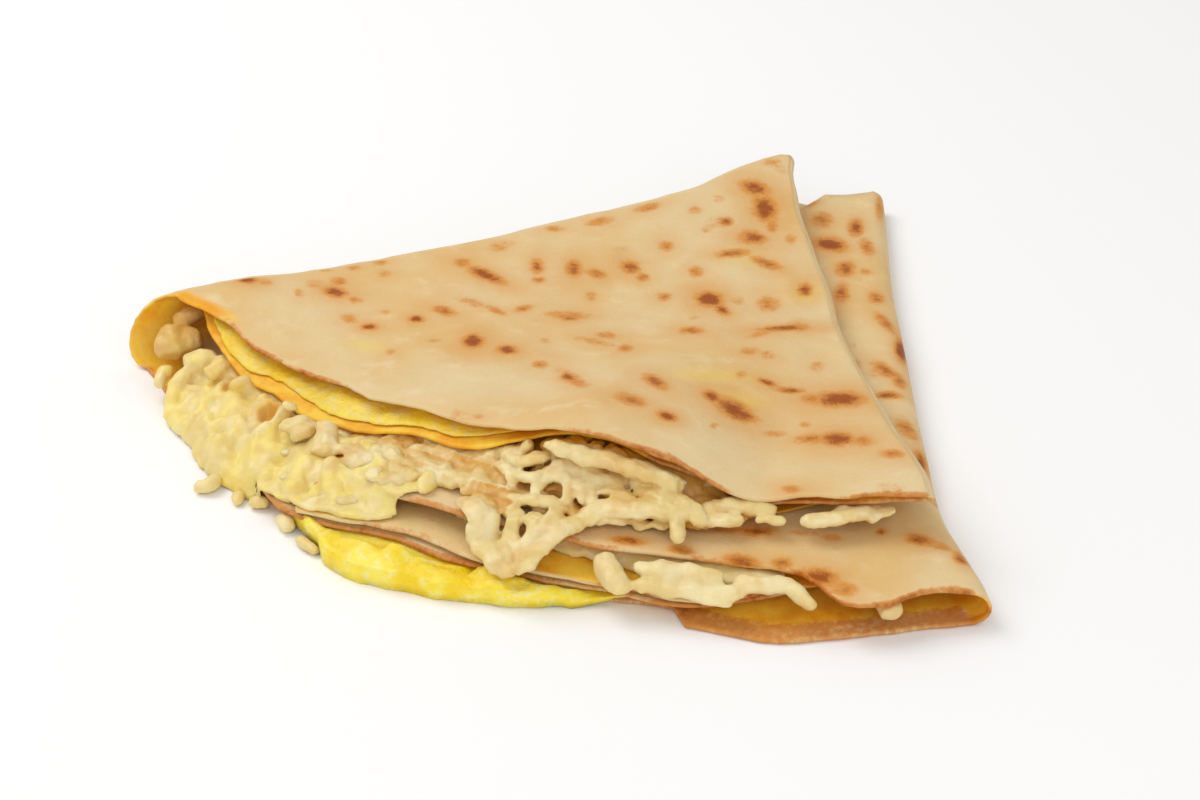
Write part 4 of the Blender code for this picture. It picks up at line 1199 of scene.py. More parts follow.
@dataclass
class EggLayer:
    """Egg between the two layers, which shows under the top flap's rim and swells out in front."""

    fold: Fold
    finish: EggFinish = field(default_factory=EggFinish)
    columns: tuple[int, int, int] = (120, 110, 50)
    first_row: float = 0.2
    skin: float = 0.8
    clear: float = 0.35
    nose: float = 0.035
    thinnest: float = 0.15
    middle_rim: float = 214.0
    top_inset: Knots = ((0, 5), (24, 3.5), (33, 3), (40, 2.2), (48, 3.4), (55, 1.6), (62, 2))

    def nose_share(self, reach: Grid, rim: Grid) -> Grid:
        """Thickness share that falls to a small lip at the rim."""
        left = np.clip((rim - reach) / (self.nose * rim), 0.0, 1.0)
        return 0.1 + 0.9 * np.sqrt(1 - (1 - left) ** 2)

    def build(self) -> bpy.types.Object:
        """The finished piece."""
        fold = self.fold
        rows = np.concatenate([np.linspace(self.first_row, 0.86, 26), np.linspace(0.86, 1.0, 44)[1:]])
        inside = fold.rims(True)[0]
        bulge_rim = fold.rim(fold.egg_rim, 2.6)
        rims = [
            lambda turn: (
                inside(turn) - profile(turn, self.top_inset) + 0.9 * lumps(rim_place(turn), 6.0, 21.0, 3)
            ),
            lambda turn: bulge_rim(turn) + 1.0 * lumps(rim_place(turn, arc=4.0), 7.0, 31.0, 2),
            lambda turn: self.middle_rim + 1.5 * lumps(rim_place(turn, arc=4.0), 8.0, 41.0, 2),
        ]
        maker = BandMaker(fold, rows, self.columns)

        def far(leaf: Leaf) -> Height:
            """Depth of the face that lies on the inside layer."""
            return lambda turn, reach: SHEET + fold.gap(leaf, turn, reach) - self.clear

        def near(leaf: Leaf) -> Height:
            """Depth of the face towards the outside layer."""
            rim = rims[leaf.value]

            def depth(turn: Grid, reach: Grid) -> Grid:
                """Depth at a place."""
                space = fold.gap(leaf, turn, reach) - 2 * self.clear
                thick = np.minimum(self.skin, space) if leaf is not Leaf.BOTTOM else space
                share = self.nose_share(reach, rim(turn))
                spot = polar(turn, reach, 0 * reach)
                rough = 0.25 * lumps(spot, 4.0, 11.0, 2) * ramp(reach, 180, 200)
                thick = np.maximum(thick + rough, self.thinnest) * share
                return SHEET + fold.gap(leaf, turn, reach) - self.clear - thick

            return depth

        upper = maker.run([near(leaf) for leaf in Leaf], rims)
        lower = maker.run([far(leaf) for leaf in Leaf], rims)
        self.swell(upper, lower, bulge_rim)
        points = np.concatenate([upper.points().reshape(-1, 3), lower.points().reshape(-1, 3)])
        mesh = bpy.data.meshes.new("egg")
        mesh.from_pydata((points * MM).tolist(), [], slab_faces(*upper.turn.shape))
        both = Band.each(lambda first, second: np.concatenate([first.ravel(), second.ravel()]), upper, lower)
        turn, reach, leaf = both.turn, both.reach, both.leaf
        amber = 0.25 + 0.6 * (leaf > 1.3) + 0.35 * (leaf < 0.5) * (1 - ramp(turn, 26, 36))
        amber = np.where((leaf > 0.6) & (leaf < 1.3) & (reach > 222), 0.0, amber)
        keep_numbers(mesh, "amber", np.clip(amber, 0, 1))
        piece = new_piece("egg_layer", mesh, self.finish.make())
        report(piece, "egg", slot="egg")
        return piece

    def swell(self, upper: Band, lower: Band, rim: Rim) -> None:
        """Lets the egg sag to the floor and grow lumpy where it comes out in front."""
        front = (upper.leaf > 0.9) & (upper.leaf < 1.1)
        crepe_rim = np.asarray(self.fold.rims(False)[1](upper.turn))
        beyond = ramp(upper.reach, crepe_rim + 0.2, crepe_rim + 4.0) * front
        spot = polar(upper.turn, upper.reach, 0 * upper.reach)
        bump = 1.8 * lumps(spot, 7.0, 13.0, 3) + 0.9 * lumps(spot, 2.8, 19.0, 1)
        share = self.nose_share(upper.reach, np.asarray(rim(upper.turn)))
        low = np.minimum(upper.height, lower.height)
        high = np.maximum(upper.height, lower.height)
        new_low = low + (0.25 + 0.2 * bump - low) * beyond
        dome = ramp(upper.reach, crepe_rim - 1.0, crepe_rim + 2.5) * front
        new_high = np.maximum(high + (bump + 1.6) * dome * share, new_low + 0.3)
        above = upper.height >= lower.height
        upper.height = np.where(front, np.where(above, new_high, new_low), upper.height)
        lower.height = np.where(front, np.where(above, new_low, new_high), lower.height)


# Cheese


@dataclass
class Space:
    """Room that the cheese has between the leaves."""

    fold: Fold
    clear: float = 0.25
    seam: float = 0.4
    directions: int = 8

    def __post_init__(self) -> None:
        """Keeps the rims, which are asked for often."""
        self.rims_a = self.fold.rims(False)
        self.rims_b = self.fold.rims(True)
        self.egg_rim = self.fold.rim(self.fold.egg_rim, 2.6)

    def lowest(self, turn: Grid, reach: Grid, middle: bool = True) -> Grid:
        """Height of the top of whatever sheet or egg is open to the heap at a place.

        Args:
            turn: Turn of the places.
            reach: Reach of the places.
            middle: Whether the middle leaf counts too.

        Returns:
            The height, 0 on the floor beyond the crepe.
        """
        fold = self.fold
        over_middle = (turn < profile(reach, fold.middle_edge) + np.degrees(1.0 / reach)) & middle
        bottom = fold.bottom_top(turn, reach)
        rim_b = self.rims_b[1](turn)
        inner_rim = np.where(over_middle, np.maximum(rim_b, self.rims_b[2](turn)), rim_b)
        inner_top = np.where(over_middle, bottom + BETWEEN_LEAVES + SHEET, bottom)
        height = np.where(reach < inner_rim + self.seam, inner_top, SHEET)
        egg_top = SHEET + fold.gap(Leaf.BOTTOM, turn, reach)
        egg_rim = self.egg_rim(turn)
        on_egg = (reach >= inner_rim + self.seam) & (reach < egg_rim + self.seam)
        height = np.where(on_egg, egg_top, height)
        outermost = np.maximum(np.maximum(self.rims_a[1](turn), egg_rim), inner_rim)
        height = np.where(reach > outermost + self.seam, 0.0, height)
        on_middle = over_middle & (reach < self.rims_a[2](turn) + self.seam)
        return np.where(on_middle, fold.middle_top(turn, reach), height)

    def around(self, turn: Grid, reach: Grid, distance: Grid) -> list[tuple[Grid, Grid]]:
        """Places round a place."""
        places = []
        for step in range(self.directions):
            angle = step * 2 * math.pi / self.directions
            near = reach + distance * math.cos(angle)
            places.append((turn + np.degrees(distance * math.sin(angle) / near), near))
        return places

    def floor(self, turn: Grid, reach: Grid, distance: Grid) -> Grid:
        """Lowest height that keeps clear of the sheets within a distance."""
        floor = self.lowest(turn, reach)
        for near in self.around(turn, reach, distance):
            floor = np.maximum(floor, self.lowest(*near))
        return floor + self.clear

    def ceiling(self, turn: Grid, reach: Grid, distance: Grid) -> Grid:
        """Greatest height that keeps below the top flap within a distance."""
        ceiling = np.full_like(np.asarray(turn, float) + reach, NO_LIMIT)
        for near in self.around(turn, reach, distance):
            under = self.fold.flap_underside(*near) + self.fold.crinkle(*near)
            covered = near[1] < self.rims_b[0](near[0]) + 0.6
            ceiling = np.minimum(ceiling, np.where(covered, under, NO_LIMIT))
        return ceiling - self.clear


@dataclass
class ShredTree:
    """Geometry Nodes tree that turns guide lines into grated shreds.

    The guides are edges with a "width" number on each point.
    """

    name: str
    material: bpy.types.Material
    step: float = 0.8
    waver: float = 0.5
    sides: int = 8
    flatness: float = 0.62
    seed: int = 5

    def tree(self) -> bpy.types.NodeTree:
        """The node tree, with its sizes as named inputs."""
        tree = bpy.data.node_groups.new(self.name, "GeometryNodeTree")
        tree.interface.new_socket("Guides", in_out="INPUT", socket_type="NodeSocketGeometry")
        for name in ("Step", "Waver", "Flatness"):
            tree.interface.new_socket(name, in_out="INPUT", socket_type="NodeSocketFloat")
        tree.interface.new_socket("Sides", in_out="INPUT", socket_type="NodeSocketInt")
        tree.interface.new_socket("Shreds", in_out="OUTPUT", socket_type="NodeSocketGeometry")

        def add(kind: str, inputs: dict[Any, Any], **settings: Any) -> Any:
            """Adds one node to this tree."""
            return add_node(tree, kind, settings, inputs)

        def product(first: Any, second: Any) -> Any:
            """Product of two sockets."""
            return add("ShaderNodeMath", {0: first, 1: second}, operation="MULTIPLY").outputs[0]

        def clouds(seed: int, scale: float) -> Any:
            """Cloudy pattern at the line's points."""
            inputs = {"Vector": place.outputs[0], "W": float(seed), "Scale": scale}
            return add("ShaderNodeTexNoise", inputs, noise_dimensions="4D").outputs

        given = add("NodeGroupInput", {}).outputs
        curve = add("GeometryNodeMeshToCurve", {"Mesh": given["Guides"]})
        steps = {"Curve": curve.outputs[0], "Length": given["Step"]}
        fine = add("GeometryNodeResampleCurve", steps, mode="LENGTH")
        place = add("GeometryNodeInputPosition", {})
        drift = {0: clouds(self.seed, 210.0)["Color"], 1: (0.5, 0.5, 0.5)}
        centred = add("ShaderNodeVectorMath", drift, operation="SUBTRACT")
        grown = add(
            "ShaderNodeVectorMath", {0: centred.outputs[0], "Scale": given["Waver"]}, operation="SCALE"
        )
        waved = add("GeometryNodeSetPosition", {"Geometry": fine.outputs[0], "Offset": grown.outputs[0]})
        width = add("GeometryNodeInputNamedAttribute", {"Name": "width"}, data_type="FLOAT")
        factor = add("ShaderNodeMapRange", {"Value": clouds(self.seed + 3, 420.0)["Fac"], 3: 0.62, 4: 1.38})
        along = add("GeometryNodeSplineParameter", {}).outputs["Factor"]
        start = add("ShaderNodeMapRange", {"Value": along, 2: 0.08, 3: 0.6}, interpolation_type="SMOOTHSTEP")
        last = {"Value": along, 1: 0.92, 2: 1.0, 3: 1.0, 4: 0.6}
        end = add("ShaderNodeMapRange", last, interpolation_type="SMOOTHSTEP")
        taper = product(start.outputs[0], end.outputs[0])
        scale = product(product(factor.outputs[0], width.outputs[0]), taper)
        ring = add("GeometryNodeCurvePrimitiveCircle", {"Resolution": given["Sides"], "Radius": 1.0})
        shape = add("ShaderNodeCombineXYZ", {"X": 1.0, "Y": given["Flatness"], "Z": 1.0})
        flat = add("GeometryNodeTransform", {"Geometry": ring.outputs[0], "Scale": shape.outputs[0]})
        body = {"Curve": waved.outputs[0], 1: flat.outputs[0], "Scale": scale, "Fill Caps": True}
        tube = add("GeometryNodeCurveToMesh", body)
        smooth = add("GeometryNodeSetShadeSmooth", {"Geometry": tube.outputs[0]})
        whole = add("GeometryNodeRealizeInstances", {"Geometry": smooth.outputs[0]})
        dressed = add("GeometryNodeSetMaterial", {"Geometry": whole.outputs[0], "Material": self.material})
        result = tree.nodes.new("NodeGroupOutput")
        tree.links.new(dressed.outputs[0], result.inputs[0])
        return tree

    def grow(self, guides: Sequence[Grid]) -> bpy.types.Mesh:
        """Shreds along guide lines.

        Args:
            guides: For each shred its points, as x, y, z and half width in millimetres.

        Returns:
            A plain mesh of all shreds.
        """
        points = np.concatenate(guides)
        edges = []
        first = 0
        for guide in guides:
            edges += [(first + index, first + index + 1) for index in range(len(guide) - 1)]
            first += len(guide)
        mesh = bpy.data.meshes.new(self.name)
        mesh.from_pydata((points[:, :3] * MM).tolist(), edges, [])
        keep_numbers(mesh, "width", points[:, 3] * MM)
        holder = in_scene(self.name, mesh)
        modifier = holder.modifiers.new("shreds", "NODES")
        tree = self.tree()
        modifier.node_group = tree
        values = {"Step": self.step * MM, "Waver": self.waver * MM * 2}
        values |= {"Flatness": self.flatness, "Sides": self.sides}
        for item in tree.interface.items_tree:
            if item.in_out == "INPUT" and item.name in values:
                modifier[item.identifier] = values[item.name]
        return taken_from(holder)


def through(points: Grid, count: int) -> Grid:
    """Smooth line through points.

    Args:
        points: The given points in the second to last axis.
        count: Number of points of the result.

    Returns:
        The line, with count points in the second to last axis.
    """
    given = points.shape[-2]
    along = np.linspace(0, given - 1, count)
    piece = np.minimum(along.astype(int), given - 2)
    part = along - piece
    shares = (
        (-1, (2 * part**2 - part - part**3) / 2),
        (0, (2 - 5 * part**2 + 3 * part**3) / 2),
        (1, (part + 4 * part**2 - 3 * part**3) / 2),
        (2, (part**3 - part**2) / 2),
    )
    weights = np.zeros((count, given))
    for offset, share in shares:
        np.add.at(weights, (np.arange(count), np.clip(piece + offset, 0, given - 1)), share)
    return weights @ points


def points_of(row: Sequence[float]) -> Grid:
    """Points of a table's row, with four numbers to a point."""
    return np.reshape(row, (-1, 4))


def placed(line: Grid) -> Grid:
    """Guide points given as turn, reach, height and half width, as x, y, z and half width."""
    return np.concatenate([polar(line[..., 0], line[..., 1], line[..., 2]), line[..., 3:]], axis=-1)


def kept_clear(line: Grid, space: Space) -> Grid:
    """Guide points as x, y, z and half width, moved up or down to keep clear of the sheets."""
    turn, reach, height, radius = np.moveaxis(line, -1, 0)
    height = np.maximum(height, space.floor(turn, reach, radius * 0.7) + 0.6 * radius)
    height = np.minimum(height, space.ceiling(turn, reach, radius * 0.5) - 0.6 * radius)
    return placed(np.stack([turn, reach, height, radius], axis=-1))


def melt_together(
    meshes: Sequence[bpy.types.Mesh], name: str, voxel: float, smoothing: int
) -> bpy.types.Mesh:
    """Joins closed meshes into one soft body.

    Args:
        meshes: The bodies that melt together.
        name: Name of the result.
        voxel: Size of the finest detail, in millimetres.
        smoothing: How many times the surface is smoothed.

    Returns:
        The joined mesh.
    """
    work = bmesh.new()
    for mesh in meshes:
        work.from_mesh(mesh)
    joined = bpy.data.meshes.new(name)
    work.to_mesh(joined)
    work.free()
    holder = in_scene(name, joined)
    remesh = holder.modifiers.new("join", "REMESH")
    remesh.mode = "VOXEL"
    remesh.voxel_size = voxel * MM
    remesh.use_smooth_shade = True
    soften = holder.modifiers.new("soften", "SMOOTH")
    soften.factor = 0.5
    soften.iterations = smoothing
    return taken_from(holder)


def roughen(mesh: bpy.types.Mesh, size: float, amount: float, seed: float) -> None:
    """Makes a soft body uneven, as grated cheese is.

    Args:
        mesh: The body, whose vertices are moved.
        size: Size of the unevenness, in millimetres.
        amount: Most that a point moves, in millimetres.
        seed: Number that the pattern starts from.
    """
    points = to_numbers(mesh)
    shift = np.stack([lumps(points, size, seed + 7 * axis, 2) for axis in range(3)], axis=-1)
    mesh.vertices.foreach_set("co", ((points + amount * shift) * MM).ravel())
    mesh.update()


# Soft lumps at the left, and shreds that stand out. A row has the turn, reach, height and half
# width of one point after another.

SOFT_BITS = (
    (59, 208, 8.4, 2.2, 59.2, 210.4, 8.6, 4, 59.4, 214.2, 8.8, 5, 59.5, 217.8, 8.4, 4, 59.6, 219.8, 8.2,
     2.2),
    (60.6, 204, 12, 1.6, 60.7, 206.4, 12.4, 2.6, 60.7, 209, 12.6, 3.1, 60.6, 211.6, 12.4, 2.6, 60.5, 213.2,
     12.2, 1.6),
    (55.4, 210, 9.6, 2.4, 56, 214, 9.4, 3.2, 56.2, 218, 8.4, 2.8),
    (55.6, 217, 8.8, 2.2, 55.4, 221, 6.8, 2.4, 54.6, 224.6, 4.4, 2.2, 53.6, 228, 2, 1.7),
    (57.4, 219.4, 7, 1.8, 57.2, 222.4, 5.6, 2, 56.6, 224.4, 4.4, 1.6),
    (40.8, 222, 11.4, 2.4, 40.9, 226, 9.4, 2.8, 40.4, 229.6, 7.6, 2.7, 39.8, 231.6, 6.4, 2.2),
    (39.4, 221, 11.6, 2.2, 38.6, 225, 9.8, 2.6, 37.6, 228, 8.4, 2.4, 36.8, 229.8, 7.2, 1.9),
    (43.2, 224.6, 6.6, 1.6, 43, 227.4, 4.8, 2, 42.8, 229.6, 3, 1.9, 42.6, 231, 1.8, 1.5),
    (50.4, 208, 13.4, 1.6, 50.8, 212, 12.4, 2, 51, 216, 11.2, 1.8),
    (53.4, 208, 12, 1.8, 53.8, 212, 11.2, 2.2, 54, 216.4, 10, 2.2),
    (46.8, 210, 13.4, 1.4, 45.8, 214, 12.6, 1.9, 45.4, 218, 11, 1.8),
    (42.8, 226, 6.6, 1.8, 41.6, 228.6, 6.4, 2.1, 40.6, 231, 5.2, 1.8),
    (39, 226.4, 6.6, 1.6, 37.4, 228, 6.6, 1.9, 36, 227, 6.6, 1.5),
    (36.6, 217, 8.8, 1.6, 35.4, 220.4, 8.2, 2, 34.6, 224, 7.4, 1.7),
    (33.4, 214, 11, 1.6, 32.6, 218, 10.4, 2, 32.2, 222, 10, 1.6),
)
SHREDS = (
    (16, 204.2, 15.6, 1.7, 14.6, 201.4, 15.6, 2.1, 12.9, 200.4, 15.4, 1.9, 11.5, 200.3, 15.2, 1.5),
    (15.8, 206.5, 15, 1.5, 14.7, 206.8, 14.6, 1.8, 13.4, 204.7, 14.6, 1.4),
    (12.7, 204.6, 14.6, 1.1, 11.9, 203.5, 14.6, 1.4, 10.9, 203.7, 14.6, 1.1),
    (10, 202.4, 14.8, 1.4, 8.9, 202, 14.8, 1.8, 7.1, 199.6, 15, 1.9, 5.5, 197.3, 15.2, 1.7, 4.2, 195.5, 15.2,
     1.2),
    (7.9, 198.8, 15.2, 1, 6.5, 196.9, 15.4, 1.3, 5, 194.9, 15.6, 1.1),
    (17, 203.3, 15.9, 1.3, 17.1, 209.2, 15, 1.4, 16.8, 216.2, 13.9, 1.1),
    (26.4, 205.5, 25, 1.7, 24.3, 205, 24.2, 2.2, 22.1, 204.2, 23.2, 2.3, 19.6, 203.1, 21.6, 2.3, 17.4, 201.5,
     19, 2),
    (25.1, 203.7, 20.6, 0.9, 24.4, 204.3, 20, 1.4, 23, 204.3, 19.4, 1.5, 21.4, 204.9, 19, 1.3),
    (16.2, 206.6, 16.7, 1.6, 17.5, 208.4, 16.6, 2.4, 18.9, 209.6, 16.7, 2.6, 20.1, 211.2, 16.7, 2.6, 21.6,
     212.3, 16.1, 2.3, 22.5, 215.6, 14.8, 2.2, 23.4, 220.3, 13.6, 2.2, 24, 225.7, 12, 2.2, 24.5, 229.9, 10,
     2.3, 24.8, 232.2, 8.1, 2),
    (29.9, 206.3, 17.2, 0.8, 29.8, 209.1, 15.6, 1, 29.3, 212.4, 14.1, 1, 28.4, 215.6, 13.4, 1.1, 27.3, 217.6,
     13.8, 1.2, 26.2, 218.6, 14.7, 1.2),
    (29.9, 220.6, 9.6, 1.5, 28.9, 222.4, 8.7, 2.2, 27.7, 225.9, 8.1, 2.5, 26.7, 229.1, 7.5, 2.5, 25.5, 231.5,
     7.6, 2.2, 24.8, 232.5, 8, 1.8),
    (29.4, 217.5, 11, 1.6, 28.3, 219.9, 10.9, 1.9, 27.4, 223.7, 9.8, 1.8, 26.3, 227.2, 9.1, 1.9, 25.3, 230.2,
     8.7, 1.9),
    (27.5, 217.8, 13.3, 1.5, 26.3, 220.3, 13.4, 1.9, 26.2, 223.4, 11.7, 1.7, 25.6, 226.6, 10.4, 1.9, 24.8,
     229, 10.1, 1.8),
    (25.7, 219.2, 15.1, 1.6, 24.9, 221.1, 14.3, 1.9, 24.7, 224.6, 12.9, 1.8, 24.8, 227.3, 11.2, 1.8),
    (24.6, 217.2, 15.5, 1.6, 24, 218.3, 14.7, 1.9, 24.1, 221.3, 13.7, 1.8, 24.4, 223.4, 13.1, 1.6),
    (26, 214.6, 17.4, 1.2, 25.8, 211.1, 18.5, 1.3, 25.4, 208.5, 19.1, 1.3, 24.6, 208.4, 18.7, 1.3, 24.1,
     210.6, 17.6, 1.3, 24, 213.6, 16.5, 1.2),
    (28.2, 214, 14.7, 1.2, 27, 215.7, 15.4, 1.6, 25.7, 216, 16.7, 1.7, 24.7, 215, 16.4, 1.7, 23.8, 215.3,
     15.7, 1.5),
    (24.1, 207.2, 18.8, 1.1, 23.4, 209.1, 17.8, 1.3, 22.9, 212.1, 16.4, 1.1),
    (23.3, 206.5, 18.6, 1.2, 22.7, 208.6, 17.6, 1.5, 22.3, 211.4, 16.4, 1.2),
    (22.2, 207.6, 18, 1.2, 21.4, 207.4, 18, 1.6, 20.6, 208.3, 17.7, 1.5, 20.3, 210.3, 17, 1.1),
    (19.9, 205.8, 18.3, 1.2, 19.1, 205.9, 18, 1.9, 18, 206.3, 17.4, 2.4, 17, 207.4, 16.7, 2.4),
    (18.4, 204.5, 18.2, 1.5, 17.4, 205.1, 17.6, 2, 16.7, 207.2, 16.7, 1.9),
    (17.4, 210.7, 15.8, 1.1, 16.9, 213, 14.8, 1.3, 16.6, 216.2, 13.7, 1),
    (16.6, 205.4, 17.2, 1.3, 16.1, 207.6, 16.3, 1.6, 15.9, 210.7, 15.2, 1.3),
    (27.9, 209.6, 18, 1.2, 26.5, 211.1, 18.9, 1.5, 26, 209, 19.3, 1.4, 25.7, 206.4, 20, 1.2),
    (26.1, 201.9, 21.9, 1.3, 25.5, 204.3, 20.6, 1.5, 25, 207, 19.4, 1.3),
    (29.4, 204.6, 19, 1.4, 28, 206.9, 19.6, 1.8, 27.1, 207.2, 20.6, 1.8, 26.4, 204.1, 21.3, 1.5),
    (30.6, 202.4, 18.7, 1.3, 29.9, 202, 20, 1.7, 28.4, 203.2, 21.4, 1.7, 27.6, 202.2, 22.6, 1.4),
    (33.3, 209.5, 14.8, 1.8, 32.7, 206.8, 15.2, 2.2, 31.6, 206, 15, 2.2, 30.2, 208.1, 15.6, 1.8),
    (34.1, 205.7, 16.3, 1.5, 33.1, 204.1, 16.1, 1.9, 31.9, 203.6, 16.1, 1.9, 30.7, 204.3, 17.4, 1.5),
    (31.7, 213.3, 12.8, 1.2, 31.2, 211, 13.1, 1.6, 30.6, 209.2, 14.4, 1.5, 30.3, 207.6, 15.8, 1.1),
    (32.7, 212.1, 13.7, 1.3, 31.9, 213.1, 13, 1.5, 31.5, 215.3, 12.1, 1.1),
    (36.4, 213.8, 15.8, 1.8, 35.4, 216.2, 14.5, 2.3, 34.4, 219.3, 13, 1.9),
    (35.5, 210.1, 16.1, 1.5, 34.4, 211.6, 15, 1.9, 33.5, 214.1, 13.7, 1.7),
    (35.3, 221.6, 13, 1.4, 34.5, 221.4, 12.5, 1.7, 33.7, 220.8, 12.1, 1.3),
    (29.7, 206.8, 17.2, 1.2, 28.6, 208.5, 17.6, 1.3, 27.8, 211, 17.2, 1.2, 27.6, 213.3, 16, 1.1),
    (22.4, 204.5, 19.2, 0.9, 21.6, 205.4, 18.8, 1.1, 21.1, 206.6, 18.4, 0.9),
    (20.8, 202.9, 19.6, 1.2, 20.1, 204.3, 18.9, 1.4, 19.6, 206.6, 18, 1.2),
    (41.7, 213.6, 15.4, 2.1, 41.1, 216.6, 14.2, 2.4, 40.5, 219.2, 13, 2.7, 40.1, 221, 11.9, 2.2),
    (44.6, 218.6, 13.1, 1.5, 43.9, 217.4, 13, 1.9, 43.5, 213.7, 13.9, 1.7),
    (43.2, 220, 11.7, 1.4, 43, 217.2, 12.4, 2, 42.8, 213, 13.6, 1.8),
    (45.7, 214.4, 15.1, 1.1, 44.7, 213.9, 14.6, 1.2),
    (39.9, 213.8, 11.5, 1.5, 39.9, 210.8, 12.5, 1.8, 39.4, 208.4, 12.9, 1.5),
    (39.2, 210.8, 12, 1.7, 38, 212.6, 10.7, 2.2, 37.2, 215.5, 9.2, 2.2, 37, 219.1, 7.8, 1.7),
    (38, 208, 12.2, 1.8, 36.9, 209.9, 10.9, 2.4, 36.3, 213.1, 9.5, 2),
    (37.5, 204.2, 13.2, 1.6, 36.4, 206.2, 11.9, 2, 35.4, 209.2, 10.4, 1.7),
    (38.8, 219.7, 8.7, 1.5, 38, 219, 8.5, 2, 37.3, 220.9, 7.3, 1.7),
    (38.5, 228.9, 5.4, 1.3, 37.9, 228.2, 5.2, 1.6, 37.7, 225.8, 5.9, 1.4),
    (37.1, 230, 4, 1.3, 36.7, 228.2, 4.4, 1.6, 36.2, 225.7, 4.9, 1.5),
    (36.3, 222.4, 6.2, 1.5, 35.4, 221.9, 5.8, 2, 34.4, 222.6, 5, 1.8),
    (34.9, 219.1, 6.6, 1.5, 34.1, 218.5, 6.3, 1.9, 33.2, 218.9, 5.7, 1.6),
    (41.6, 229.4, 7.4, 1.5, 41.1, 226.8, 7.9, 2, 40.3, 225, 7.9, 1.7),
)


